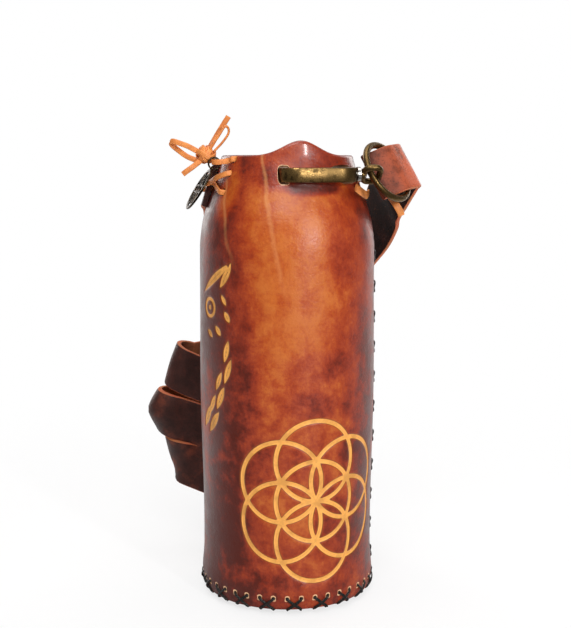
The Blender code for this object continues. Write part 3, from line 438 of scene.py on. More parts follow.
# Leaves: U and Z of both tips in millimetres, and width as a share of length
LEAVES = np.array((
    (-47.5, 143.1, -26.3, 157.4, 0.065), (-26.3, 156.2, -33.2, 146.0, 0.13),
    (-32.5, 142.9, -29.6, 138.4, 0.19), (-30.6, 135.6, -27.6, 131.0, 0.24),
    (-43.5, 126.4, -39.6, 123.3, 0.24), (-37.0, 128.6, -33.3, 124.6, 0.24),
    (-28.5, 122.9, -30.9, 113.0, 0.15), (-26.8, 114.7, -30.8, 103.4, 0.13),
    (-32.8, 108.3, -36.8, 99.7, 0.15), (-31.0, 101.8, -36.0, 91.1, 0.15),
    (-37.3, 97.3, -42.1, 88.3, 0.15), (-34.6, 89.8, -42.4, 79.6, 0.15),
    (-40.9, 92.0, -47.8, 81.2, 0.16),
))
FRUIT_MIDDLE = np.array((-41.5, 136.5)) * MM
FRUIT_RADIUS, FRUIT_HALF_LINE, FRUIT_CORE_RADIUS = 3.9 * MM, 0.75 * MM, 1.1 * MM
VEIN_HALF_WIDTH, VEIN_SHARE = 0.16 * MM, 0.45
NOSE_POWERS = (3.33, 0.3)


def circle_lines(u, z, radius, line):
    """Distance to the rosette's lines: seven equal circles, one in the middle and six about it, each
    through the middle of its neighbours. The distance is |distance to centre - radius| - half a line."""
    case = bpy.context.scene.case_sizes
    centre_u = ROSETTE_ANGLE * case.radius
    turn = np.radians(30 + 60 * np.arange(6))
    centres = np.vstack([[0, 0], radius * compass(turn)])
    best = np.full(u.shape, FAR)
    for cu, cz in centres:
        reach = np.abs(np.hypot(u - centre_u - cu, z - ROSETTE_HEIGHT - cz) - radius)
        best = np.minimum(best, reach - line / 2)
    return best


def sprig_lines(u, z):
    """Distance to a spray of leaves with a round fruit. A leaf is where two equal circles overlap between
    its two tips, and its distance is the larger of the distances to the circles, less at its vein."""
    away = np.full(u.shape, FAR)
    near = (u < -22 * MM) & (u > -54 * MM) & (z > 74 * MM) & (z < 162 * MM)
    pu, pz = u[near], z[near]
    reach = np.hypot(pu - FRUIT_MIDDLE[0], pz - FRUIT_MIDDLE[1])
    gap = np.minimum(np.abs(reach - FRUIT_RADIUS) - FRUIT_HALF_LINE, reach - FRUIT_CORE_RADIUS)
    for row in LEAVES:
        start, end = row[:2] * MM, row[2:4] * MM
        half, along = np.linalg.norm(end - start) / 2, unit(end - start)
        du, dz = pu - (start[0] + end[0]) / 2, pz - (start[1] + end[1]) / 2
        v = du * along[0] + dz * along[1]
        w = du * along[1] - dz * along[0]
        wide = 2 * half * row[4]
        bow = (half**2 + wide**2) / (2 * wide)
        leaf_gap = np.maximum(np.hypot(w - (bow - wide), v), np.hypot(w + (bow - wide), v)) - bow
        vein = VEIN_HALF_WIDTH - np.abs(w) - np.clip(np.abs(v) - half * VEIN_SHARE, 0, None)
        gap = np.minimum(gap, np.maximum(leaf_gap, vein))
    away[near] = gap
    return away


def hole_gap(angle, z):
    """Distance to the middle of the nearest hole of the foot, a hole every half pitch of the crosses."""
    step = math.pi / BASE_CROSSES
    off = (angle - np.round(angle / step) * step) * outer_radius(BASE_HOLE_HEIGHT)
    return np.hypot(off, z - BASE_HOLE_HEIGHT)


def nose_gap(points):
    """Distance to the edge of the hole that the hook's nose goes through, outside it positive. Both
    shares of the way out are raised to a power, added, and taken back by its root."""
    along, out, up = hook_axes()
    middle, wide, high = nose_hole()
    power, root = NOSE_POWERS
    u = np.abs(points @ along - middle) / wide
    w = np.abs(points @ up - bpy.context.scene.hook_sizes.height) / high
    beyond = ((u**power + w**power) ** root - 1) * (wide + high) / 2
    return np.where(points @ out > 0, beyond, FAR)

# Materials

# Each node by the name that it goes by here: Blender's type, its output, its inputs in order, its settings
NODES = {
    "+": ("ShaderNodeMath", "Value", (0, 1), {"operation": "ADD"}),
    "-": ("ShaderNodeMath", "Value", (0, 1), {"operation": "SUBTRACT"}),
    "*": ("ShaderNodeMath", "Value", (0, 1), {"operation": "MULTIPLY"}),
    "/": ("ShaderNodeMath", "Value", (0, 1), {"operation": "DIVIDE"}),
    "larger": ("ShaderNodeMath", "Value", (0, 1), {"operation": "MAXIMUM"}),
    "size": ("ShaderNodeMath", "Value", (0,), {"operation": "ABSOLUTE"}),
    "span": ("ShaderNodeMapRange", "Result", ("Value", "From Min", "From Max", "To Min", "To Max"),
             {"interpolation_type": "SMOOTHSTEP"}),
    "blend": ("ShaderNodeMix", 2, (0, 6, 7), {"data_type": "RGBA"}),
    "graded": ("ShaderNodeValToRGB", "Color", ("Fac",), {}),
    "place": ("ShaderNodeTexCoord", "Object", (), {}),
    "flat": ("ShaderNodeUVMap", "UV", (), {"uv_map": "flat"}),
    "painted": ("ShaderNodeAttribute", "Fac", (), {}),
    "x": ("ShaderNodeSeparateXYZ", "X", ("Vector",), {}),
    "y": ("ShaderNodeSeparateXYZ", "Y", ("Vector",), {}),
    "far": ("ShaderNodeVectorMath", "Value", (0,), {"operation": "LENGTH"}),
    "turned": ("ShaderNodeMapping", "Vector", ("Vector", "Rotation", "Scale"), {}),
    "noise": ("ShaderNodeTexNoise", "Fac", ("Vector", "Scale", "Detail", "Roughness"), {}),
    "cells": ("ShaderNodeTexVoronoi", "Distance", ("Vector", "Scale"), {}),
    "bands": ("ShaderNodeTexWave", "Fac", ("Vector", "Scale", "Distortion", "Detail"), {"wave_type": "BANDS"}),
    "bump": ("ShaderNodeBump", "Normal", ("Height", "Distance", "Strength", "Normal"), {}),
    "seen": ("ShaderNodeLightPath", "Is Camera Ray", (), {}),
    "mirrored": ("ShaderNodeLightPath", "Is Glossy Ray", (), {}),
    "glow": ("ShaderNodeEmission", "Emission", ("Color", "Strength"), {}),
    "layered": ("ShaderNodeMixShader", "Shader", (0, 1, 2), {}),
}


class Wire:
    """A node's output. A sign between a wire and another wire or a number adds the node of that sign."""

    def __init__(self, tree, socket):
        self.tree, self.socket = tree, socket

    def __add__(self, other):
        return add(self.tree, "+", self, other)

    def __sub__(self, other):
        return add(self.tree, "-", self, other)

    def __rsub__(self, other):
        return add(self.tree, "-", other, self)

    def __mul__(self, other):
        return add(self.tree, "*", self, other)

    def __truediv__(self, other):
        return add(self.tree, "/", self, other)


def add(tree, name, *values, **settings):
    """Adds a node of NODES with its settings, and feeds its inputs in order. Returns its output."""
    kind, output, inputs, usual = NODES[name]
    made = tree.nodes.new(kind)
    for key, setting in {**usual, **settings}.items():
        setattr(made, key, setting)
    for key, value in zip(inputs, values):
        feed(value, made.inputs[key])
    return Wire(tree, made.outputs[output])


def feed(value, socket):
    """Links a wire to an input, or sets the input to a plain value or an opaque colour."""
    if isinstance(value, Wire):
        value.tree.links.new(value.socket, socket)
    else:
        socket.default_value = (*value, 1.0)[:4] if socket.type == "RGBA" else value


def new_look(name):
    """An empty material, its tree, and the surface's own coordinates in metres."""
    look = bpy.data.materials.new(name)
    look.use_nodes = True
    return look, look.node_tree, add(look.node_tree, "place")


def finish(look, base, roughness, *bumps, **more):
    """Feeds the shader. Each bump is a height and its depth in metres, and lies over the one before."""
    tree = look.node_tree
    inputs = {"Base Color": base, "Roughness": roughness, **more}
    for height, depth in bumps:
        before = [inputs["Normal"]] if "Normal" in inputs else []
        inputs["Normal"] = add(tree, "bump", height, depth, 1.0, *before)
    for name, value in inputs.items():
        feed(value, tree.nodes["Principled BSDF"].inputs[name])
    return look


# Clouds of dye on the unrolled wall, and painted shade at the hook: middle, half width and half
# height in metres, and strength, which is less than 0 where the dye is thin
DYE_AND_SHADE_CLOUDS = (
    (0.014, 0.095, 0.020, 0.010, 0.22), (-0.017, 0.118, 0.010, 0.020, 0.12),
    (0.004, 0.034, 0.016, 0.014, 0.15), (-0.022, 0.028, 0.014, 0.030, 0.25),
    # The two clouds at heights 0.192 and 0.1895 are painted shadow under the hook's bar.
    (0.010, 0.192, 0.022, 0.008, 0.18), (0.013, 0.1895, 0.021, 0.0040, 0.60),
    # The cloud at -0.010, 0.194 is painted shade by the hook's nose.
    (-0.035, 0.190, 0.010, 0.022, -0.55), (-0.010, 0.194, 0.007, 0.008, 0.30),
    (0.014, 0.112, 0.022, 0.010, 0.30),
)
# Stretched lines in the dye: a point on the unrolled wall, how much the line leans, and its lower end
CREASES = ((-0.0120, 0.193, 0.225, 0.136), (-0.0419, 0.2015, 0.379, 0.150))
CREASE_SWAY = 0.008
RIM_BAND = (0.185, 0.203)
FLESH_TAN, STEEL = linear("aa7c55"), linear("959595")
THREAD_SHEEN, THREAD_WAX = linear("3c3530"), linear("453e38")


def moulded_leather(colours):
    """Vegetable-tanned leather, wet-moulded, dyed by hand and waxed: clouds of orange and brown dye,
    darker at the sides and the foot, a soft gloss, highest at the burnished rim, fine pores, and cut
    lines that bare pale leather."""
    look, tree, where = new_look("moulded_leather")
    flat = add(tree, "flat")
    u, v, x, y = add(tree, "x", flat), add(tree, "y", flat), add(tree, "x", where), add(tree, "y", where)
    clouds = add(tree, "noise", where, 1 / (26 * MM), 4.0, 0.58)
    patches = add(tree, "noise", where, 1 / (6.5 * MM), 5.0, 0.62)
    upright = add(tree, "turned", flat, (0, 0, 0), (1.0, 0.20, 1.0))
    strokes = add(tree, "noise", upright, 1 / (10 * MM), 4.0, 0.6)
    grain = add(tree, "noise", where, 1 / (1.3 * MM), 4.0, 0.7)
    pores = add(tree, "cells", where, 1 / (1.1 * MM))

    # Lighter in the middle of the front and darker towards its sides: partly dye, partly painted shade where
    # the tube turns away from the light. The back keeps an even tone.
    behind = add(tree, "span", y, -0.008, 0.012)
    across = add(tree, "span", x, -0.036, -0.003) * add(tree, "span", x, 0.053, 0.003)
    across = across * (1.0 - behind) + behind * 0.45
    height = add(tree, "span", v, 0.008, 0.036, 0.35, 0.62) + add(tree, "span", v, 0.080, 0.125, 0.0, 0.26)
    tone = across * (height - add(tree, "span", v, 0.186, 0.201, 0.0, 0.50))
    # Clouds of dye, and painted shadow and shade under the hook's bar and by its nose.
    for at_u, at_v, wide, tall, darkening in DYE_AND_SHADE_CLOUDS:
        off_u, off_v = (u - at_u) / wide, (v - at_v) / tall
        tone = tone - add(tree, "span", off_u * off_u + off_v * off_v, 1.0, 0.0, 0.0, darkening)
    tone = tone + (clouds - 0.5) * add(tree, "span", v, 0.125, 0.080, 0.9, 1.9)
    tone = tone + (patches - 0.5) * add(tree, "span", v, 0.125, 0.080, 0.6, 0.85)
    tone = tone + (strokes - 0.5) * 0.75 + (grain - 0.5) * 0.62
    base = add(tree, "graded", tone)
    ramp = base.socket.node.color_ramp
    ramp.interpolation = "B_SPLINE"
    dyes = (colours.leather_deep, colours.leather_dark, colours.leather_mid, colours.leather_light)
    for _ in dyes[2:]:
        ramp.elements.new(0.5)
    for k, dye in enumerate(dyes):
        ramp.elements[k].position = k / (len(dyes) - 1)
        ramp.elements[k].color = (*dye, 1.0)
    for at_u, at_v, lean, low in CREASES:
        off = add(tree, "size", u - at_u - (at_v - v) * lean + (clouds - 0.5) * CREASE_SWAY)
        crease = add(tree, "span", off, 0.0017, 0.0001) * add(tree, "span", v, low, low + 0.03, 0.0, 0.34)
        crease = crease * add(tree, "span", strokes, 0.28, 0.50)
        base = add(tree, "blend", crease, base, colours.leather_crease)

    cut = add(tree, "painted", attribute_name="cut_mm")
    base = add(tree, "blend", add(tree, "span", cut, 1.1, 0.2) * 0.22, base, colours.leather_light)
    base = add(tree, "blend", add(tree, "span", cut, 0.42, 0.16) * 0.55, base, colours.leather_deep)
    bare = add(tree, "span", cut, 0.14, -0.10)
    burnished = add(tree, "span", cut, -0.62, -0.86, 0.0, 0.5)
    shade = add(tree, "larger", add(tree, "span", patches, 0.42, 0.66, 0.0, 0.8), burnished)
    base = add(tree, "blend", bare, base, add(tree, "blend", shade, colours.cut_light, colours.cut_shade))
    raw = add(tree, "span", add(tree, "painted", attribute_name="raw_mm"), 0.62, 0.30)
    base = add(tree, "blend", raw, base, colours.hole_rim)
    gloss = {"IOR": 1.5, "Coat Weight": add(tree, "span", v, *RIM_BAND, 0.12, 0.30),
             "Coat Roughness": add(tree, "span", v, *RIM_BAND, 0.34, 0.15)}
    return finish(look, base, add(tree, "span", patches, 0.3, 0.7, 0.30, 0.46) + bare * 0.18,
                  (pores, 0.04 * MM), (grain, 0.09 * MM), (patches, 0.22 * MM), **gloss)


def raw_leather(colours):
    """Flesh side and cut faces of vegetable-tanned leather: fibrous, dull, uneven tan."""
    look, tree, where = new_look("raw_leather")
    fibres = add(tree, "noise", where, 1 / (1.2 * MM), 4.0, 0.7)
    clouds = add(tree, "noise", where, 1 / (14 * MM), 3.0)
    pale = add(tree, "span", fibres * 0.6 + clouds * 0.4, 0.38, 0.66)
    return finish(look, add(tree, "blend", pale, colours.flesh, FLESH_TAN), 0.9, (fibres, 0.3 * MM))


def strap_grain(colours):
    """Dyed strap leather with a pull-up finish: dark brown-red, paler where it is bent, fine pores."""
    look, tree, where = new_look("strap_grain")
    clouds = add(tree, "noise", where, 1 / (10 * MM), 5.0, 0.6)
    pores = add(tree, "noise", where, 1 / (0.9 * MM), 3.0, 0.6)
    # Paler at the fold round the ring, partly wear and partly a painted highlight, and in random patches.
    wear_and_highlight = add(tree, "painted", attribute_name="wear_and_highlight") * add(tree, "span", clouds, 0.32, 0.62, 0.62, 1.0)
    wear_and_highlight = add(tree, "larger", wear_and_highlight, add(tree, "span", clouds, 0.50, 0.74, 0.0, 0.26))
    base = add(tree, "blend", wear_and_highlight, colours.strap_grain, colours.strap_wear_and_highlight)
    for pattern, pale, dark in ((clouds, 0.52, 0.34), (pores, 0.52, 0.72)):
        base = add(tree, "blend", add(tree, "span", pattern, pale, dark, 0.0, 0.45), base, colours.strap_flesh)
    return finish(look, base, add(tree, "span", clouds, 0.3, 0.7, 0.42, 0.58), (pores, 0.14 * MM),
                  (clouds, 0.4 * MM), **{"Specular IOR Level": 0.32})


def strap_flesh(colours):
    """Flesh side of the strap: dark dye soaked into rough fibres, bare tan where the band is wound."""
    look, tree, where = new_look("strap_flesh")
    fibres = add(tree, "noise", where, 1 / (1 * MM), 4.0, 0.7)
    clouds = add(tree, "noise", where, 1 / (8 * MM), 3.0)
    bare = add(tree, "painted", attribute_name="bare") * add(tree, "span", fibres, 0.30, 0.60, 1.0, 0.7)
    faded = add(tree, "span", clouds, 0.4, 0.7, 0.0, 0.5)
    base = add(tree, "blend", faded, colours.strap_flesh, colours.strap_grain)
    for tan in (add(tree, "span", fibres, 0.60, 0.72, 0.0, 0.5), bare):
        base = add(tree, "blend", tan, base, colours.strap_edge)
    return finish(look, base, 0.85, (fibres, 0.3 * MM))


def strap_edge(colours):
    """Raw edge of the strap: undyed middle layer, tan, with dye bled in from both sides."""
    look, tree, where = new_look("strap_edge")
    fibres = add(tree, "noise", where, 1 / (1.2 * MM), 4.0, 0.65)
    clouds = add(tree, "noise", where, 1 / (9 * MM), 3.0)
    base = add(tree, "blend", add(tree, "span", clouds, 0.35, 0.70), colours.strap_edge, colours.strap_wear_and_highlight)
    base = add(tree, "blend", add(tree, "span", fibres, 0.55, 0.75, 0.0, 0.5), base, colours.strap_grain)
    return finish(look, base, 0.7, (fibres, 0.2 * MM))


def lace_leather(colours):
    """Tan lace, cut from undyed leather: warm orange tan, rubbed darker in places, soft sheen."""
    look, tree, where = new_look("lace_leather")
    clouds = add(tree, "noise", where, 1 / (4 * MM), 4.0, 0.6)
    fine = add(tree, "noise", where, 1 / (0.7 * MM), 3.0, 0.6)
    base = colours.lace
    for pattern, start, most in ((clouds, 0.35, 0.55), (fine, 0.55, 0.18)):
        base = add(tree, "blend", add(tree, "span", pattern, start, 0.72, 0.0, most), base, colours.lace_shade)
    return finish(look, base, 0.50, (fine, 0.02 * MM), (clouds, 0.2 * MM))


def waxed_thread(colours):
    """Braided polyester cord, waxed black: fine slanting strands with dull highlights."""
    look, tree, where = new_look("waxed_thread")
    slanted = add(tree, "turned", add(tree, "flat"), (0, 0, math.radians(35)))
    strand = add(tree, "bands", slanted, 1 / (2.2 * MM), 0.6, 1.0)
    wax = add(tree, "span", add(tree, "noise", where, 1 / (2 * MM), 3.0), 0.55, 0.75, 0.0, 0.5)
    base = add(tree, "blend", add(tree, "span", strand, 0.4, 1.0, 0.0, 0.5), colours.thread, THREAD_SHEEN)
    return finish(look, add(tree, "blend", wax, base, THREAD_WAX), 0.48, (strand, 0.12 * MM))


def aged_brass(name, rubbed, low):
    """Die-cast brass with an aged finish: dark patina in patches and pits, rubbed bright between. It is
    duller towards the swivel, along object X."""
    look, tree, where = new_look(name)
    patches = add(tree, "noise", where, 1 / (2.2 * MM), 5.0, 0.65)
    pits = add(tree, "noise", where, 1 / (0.5 * MM), 3.0, 0.6)
    # Painted highlight: the brass darkens past 13 to 18 mm along X, so the bar's nose end stays bright.
    away_from_highlight = add(tree, "span", add(tree, "x", where), 0.0130, 0.0180)
    away_from_highlight = away_from_highlight * add(tree, "span", pits, 0.30, 0.50, 0.35, 0.65)
    dark = add(tree, "span", patches, 0.45, 0.65, 0.0, 0.80)
    for other in (add(tree, "span", pits, 0.52, 0.64, 0.0, 0.75), away_from_highlight):
        dark = add(tree, "larger", dark, other)
    return finish(look, add(tree, "blend", dark, rubbed, low), add(tree, "span", dark, 0.0, 1.0, 0.28, 0.46),
                  (pits, 0.03 * MM), (patches, 0.04 * MM), Metallic=1.0)


def bright_metal(name, base_colour, roughness):
    """Nickel plate or drawn steel: pale grey mirror with faint wear marks."""
    look, tree, where = new_look(name)
    wear = add(tree, "noise", where, 1 / (1.2 * MM), 4.0, 0.7)
    darker = tuple(c * 0.55 for c in base_colour)
    base = add(tree, "blend", add(tree, "span", wear, 0.5, 0.75, 0.0, 0.6), base_colour, darker)
    rough = add(tree, "span", wear, 0.3, 0.7, roughness, roughness + 0.15)
    return finish(look, base, rough, (wear, 0.04 * MM), Metallic=1.0)


LOOKS = {}


def looks():
    if not LOOKS:
        colours = bpy.context.scene.case_colours
        for make in (moulded_leather, raw_leather, strap_grain, strap_flesh, strap_edge, lace_leather,
                     waxed_thread):
            LOOKS[make.__name__] = make(colours)
        LOOKS["antique_brass"] = aged_brass("antique_brass", colours.brass, colours.patina)
        LOOKS["blackened_brass"] = aged_brass("blackened_brass", colours.black, colours.soot)
        LOOKS["nickel"] = bright_metal("nickel", tuple(colours.nickel), 0.16)
        LOOKS["spring_steel"] = bright_metal("spring_steel", STEEL, 0.25)
    return LOOKS


# Leather body

WALL_ROWS, INNER_ROWS, EDGE_ROWS = 250, 18, 9
CUT_TURN, CUT_TURN_EXTRA = (math.radians(-88), math.radians(78)), 3.2
CUT_SHARE, CUT_SHARE_EXTRA = (0.06, 0.76), 2.2
HOLE_RIM_OFFSET = 0.15 * MM
NOSE_RIM_FACTOR = 3.0
HOLE_DENT_DEPTH, HOLE_DENT_REACH = 0.35 * MM, 1.6 * MM
GROOVE_EDGE = 0.5 * MM
# Waves as left by hand: lengths round and up the wall, shifts, and a finer ripple across them
WAVE_U, WAVE_Z, WAVE_SHIFT_U, WAVE_SHIFT_Z = 11.5 * MM, 17 * MM, 1.3, 0.6
RIPPLE_U, RIPPLE_Z, RIPPLE_SHARE = 6 * MM, 13 * MM, 0.6
# Their height, and where they start and end with how far they take to fade
HAND_WAVE_HEIGHT, HAND_WAVE_ENDS = 0.16 * MM, ((16 * MM, 20 * MM), (176 * MM, -12 * MM))
FACE_DEPTH, FACE_FADE = 0.4 * MM, 0.3 * MM
# Shares of the wall: its lower edge's rounding, and how far the raw inside reaches out and up
EDGE_SHARE, INSIDE_SHARE, RIM_SHARE = 0.35, 0.35, 0.4
# Shares of the hook's half span: middle and half width of the cut for its base
BASE_CUT_MIDDLE, BASE_CUT_REACH = 0.25, 0.75
CUT_OVER = 2 * MM
CUT_SIDES = 12


def wall_grid():
    """The tube's cross-section, from the lower edge up the outside, over the rounded rim, down the
    inside and round the lower edge, worked out for every column at once. The columns and rows are
    closer together where the front is cut."""
    case = bpy.context.scene.case_sizes
    angles = crowded(SEAM_ANGLE - 2 * math.pi, SEAM_ANGLE, case.columns + 1, *CUT_TURN, CUT_TURN_EXTRA)
    angles[0] += SEAM_GAP / 2 / case.radius
    angles[-1] -= SEAM_GAP / 2 / case.radius
    angles = angles[:, None]
    rim = rim_height(angles)
    radius = case.wall / 2
    low = case.edge_lift + EDGE_SHARE * radius
    outer_z = low + (rim - radius - low) * crowded(0, 1, WALL_ROWS, *CUT_SHARE, CUT_SHARE_EXTRA)[None]
    inner_z = low + (rim - radius - low) * np.linspace(1, 0, INNER_ROWS)[None]
    outer = around(angles, outer_radius(outer_z), outer_z)
    inner = around(angles, inner_radius(inner_z), inner_z)
    bend = np.radians(np.linspace(0, 180, EDGE_ROWS))[None, 1:-1]

    def edge(z, turn, depth):
        middle = (outer_radius(z) + inner_radius(z)) / 2
        half = (outer_radius(z) - inner_radius(z)) / 2
        return around(angles, middle + half * np.cos(turn), z + depth * np.sin(turn))

    top = edge(rim - radius, bend, radius)
    bottom = edge(np.full_like(rim, low), bend[:, ::-1], low - case.edge_lift)
    bottom[..., 2] = 2 * low - bottom[..., 2]
    return np.concatenate([outer, top, inner, bottom], 1)


def lace_hole_rods(name, material):
    """Round cutters through the wall for the thread of foot and seam and for the laces."""
    case = bpy.context.scene.case_sizes
    steps = foot_hole_angles()
    middles, turns = seam_crosses()
    half = SEAM_CROSS_HEIGHT / 2
    rows = [(steps, np.full(len(steps), BASE_HOLE_HEIGHT))]
    rows += [(SEAM_ANGLE + side * turns, middles + level) for side in (-1, 1) for level in (-half, half)]
    anchors = np.array([lace_anchor(key) for key in LACE_HOLES])
    thread_holes = np.concatenate(rows, 1)
    angle, z = np.concatenate([thread_holes, anchors.T], 1)
    radius = np.repeat((case.lace_hole / 2, LACE_SLOT_RADIUS), (thread_holes.shape[1], len(anchors)))
    starts, ends = around(angle, inner_radius(z) - CUT_OVER, z), around(angle, outer_radius(z) + CUT_OVER, z)
    return rods(name, starts, ends, radius, CUT_SIDES, [material])


def rounded_block(name, place, low, high, material):
    """A cutter whose outline lies between an oval and a rectangle: signed cos and sin to the power 0.6."""
    turn = full_turn(36)
    a, b = (np.sign(c) * np.abs(c) ** 0.6 for c in (np.cos(turn), np.sin(turn)))
    grid = np.stack([place(a, b, np.full_like(a, c)) for c in (low, high)])
    return grid_object(name, grid, [material])


def carve(mesh):
    """Lays the wall out flat, marks its cut lines and raw rims in millimetres, and presses in the lines,
    the holes of the foot, the seam and some waves as left by hand."""
    case = bpy.context.scene.case_sizes
    points = places(mesh)
    angle = np.arctan2(points[:, 0], -points[:, 1])
    angle = (angle - SEAM_ANGLE) % (2 * math.pi) + SEAM_ANGLE - 2 * math.pi
    u, z = angle * case.radius, points[:, 2]
    reach = np.hypot(points[:, 0], points[:, 1])
    outside = reach > (outer_radius(z) + inner_radius(z)) / 2
    cut = np.minimum(circle_lines(u, z, case.rosette_radius, case.line_width), sprig_lines(u, z))
    cut = np.where(outside, cut, FAR)
    point_value(mesh, "cut_mm", np.clip(cut / MM, -3, 3))
    raw_gap = np.abs(hole_gap(angle, z) - case.lace_hole / 2 - HOLE_RIM_OFFSET)
    raw_gap = np.minimum(raw_gap, np.abs(nose_gap(points)) * NOSE_RIM_FACTOR)
    point_value(mesh, "raw_mm", np.where(outside, np.clip(raw_gap / MM, 0, 3), 3.0))

    groove = case.carve_depth * np.clip(0.5 - cut / GROOVE_EDGE, 0, 1)
    dent = HOLE_DENT_DEPTH * np.exp(-((hole_gap(angle, z) / HOLE_DENT_REACH) ** 2))
    waves = np.sin(u / WAVE_U + WAVE_SHIFT_U) * np.sin(z / WAVE_Z + WAVE_SHIFT_Z)
    waves = waves + RIPPLE_SHARE * np.sin(u / RIPPLE_U - z / RIPPLE_Z)
    for place, fade in HAND_WAVE_ENDS:
        waves = waves * np.clip((z - place) / fade, 0, 1)
    seam_arc = ((angle - SEAM_ANGLE + math.pi) % (2 * math.pi) - math.pi) * case.radius
    valley = SEAM_VALLEY_DEPTH * np.exp(-((seam_arc / SEAM_VALLEY_REACH) ** 2))
    near_face = np.clip((reach - outer_radius(z) + FACE_DEPTH) / FACE_FADE, 0, 1)
    depth = groove + dent + valley - HAND_WAVE_HEIGHT * waves
    depth = depth * np.where(outside, near_face, 0)
    outward = points * (1, 1, 0) / np.maximum(reach, 1e-6)[:, None]
    mesh.vertices.foreach_set("co", (points - outward * depth[:, None]).astype(np.float32).ravel())
    lay_flat(mesh, np.stack([u, z], 1))


def line_inside(mesh):
    """Gives the wall's inner faces the second material."""
    wall = bpy.context.scene.case_sizes.wall
    centre = np.empty(len(mesh.polygons) * 3, np.float32)
    mesh.polygons.foreach_get("center", centre)
    x, y, z = centre.reshape(-1, 3).astype(float).T
    index = np.empty(len(x), np.int32)
    mesh.polygons.foreach_get("material_index", index)
    inner = np.hypot(x, y) < inner_radius(z) + INSIDE_SHARE * wall
    index[inner & (z < rim_height(np.arctan2(x, -y)) - RIM_SHARE * wall)] = 1
    mesh.polygons.foreach_set("material_index", index)


def make_wall():
    """The moulded tube with all its holes, its cut lines and its rough inside."""
    hook = bpy.context.scene.hook_sizes
    leather, raw = looks()["moulded_leather"], looks()["raw_leather"]
    wall = grid_object("case_wall_leather", wall_grid(), [leather, raw], smooth_angle=55)
    gate_n = spine_n() - 2 * hook.half_span
    nose_u, nose_reach, rise = nose_hole()
    base_u, base_n = HOOK_BASE_U + hook.half_span / 2, gate_n + hook.half_span * BASE_CUT_MIDDLE
    base_reach = hook.half_span * BASE_CUT_REACH
    nose = rounded_block("nose_cut", lambda a, b, c: hook_point(nose_u + a * nose_reach, c, b * rise),
                         gate_n, spine_n(), raw)
    base = rounded_block("base_cut", lambda a, b, c: hook_point(base_u + c, base_n + a * base_reach, b * rise),
                         -hook.half_span, hook.half_span, raw)
    cut_out(wall, lace_hole_rods("hole_cut", raw), nose, base)
    carve(wall.data)
    line_inside(wall.data)
    soften(wall.data, 50)
    return finished(wall, "root", "moulded_leather", "case_wall")


def make_foot():
    """The disc: a flat middle whose rim turns up inside the wall, with rounded corners."""
    case = bpy.context.scene.case_sizes
    raw, edge = looks()["raw_leather"], looks()["strap_edge"]
    thick, round_off = case.wall, 0.5 * MM
    rim = float(inner_radius(case.edge_lift)) - CLEAR
    radii = (0.5 * MM, 10 * MM, 20 * MM, BASE_FLAT_RADIUS, (BASE_FLAT_RADIUS + rim) / 2, rim - round_off, rim)
    radii = np.array((*radii, *radii[::-1]))
    rise = case.edge_lift * np.clip((radii - BASE_FLAT_RADIUS) / (rim - BASE_FLAT_RADIUS), 0, 1)
    lift = np.repeat((0, round_off, thick - round_off, thick), (6, 1, 1, 6))
    turn = full_turn(120)
    grid = around(turn[None], radii[:, None], (rise + lift)[:, None])
    disc = grid_object("foot_disc_leather", grid, [raw, edge])
    steps = foot_hole_angles()
    cut_out(disc, rods("disc_cut", around(steps, BASE_HOLE_RADIUS, -CUT_OVER),
                       around(steps, BASE_HOLE_RADIUS, case.edge_lift + thick + CUT_OVER),
                       case.lace_hole / 2, CUT_SIDES, [raw]))
    soften(disc.data, 40)
    return finished(disc, "root", "sole_leather", "base_disc")


# Thread

THREAD_FLATNESS = np.array((0.5, 1.15))
THREAD_STEP = 0.55 * MM
THREAD_SIDES = 8
FOOT_LEG_SINK = 0.3 * MM
FOOT_EDGE_IN, FOOT_EDGE_DOWN = 0.7 * MM, 0.1 * MM
FOOT_UNDER_SINK = 0.40 * MM
FOOT_LEG_END_SHARE = 0.7


def thread_tube(name, knots, diameter, closed, node):
    """Cord pulled flat along a smooth curve through the knots, with a UV map of its girth and length."""
    knots = np.asarray(knots)
    path = ring_curve(knots, THREAD_STEP, 12) if closed else smooth(knots, THREAD_STEP)
    hint = unit(path * (1, 1, 0)) + (0, 0, 0.35)
    grid = carried(path, hint, round_section(diameter / 2, THREAD_SIDES) * THREAD_FLATNESS, closed)
    run = np.arange(len(path)) * THREAD_STEP
    girth = np.arange(THREAD_SIDES) * math.pi * diameter / THREAD_SIDES
    flat = np.stack(np.broadcast_arrays(girth[None], run[:, None]), -1)
    made = grid_object(name, grid, [looks()["waxed_thread"]], closed=closed, flat=flat, smooth_angle=80)
    return finished(made, "root", "waxed_thread", node)


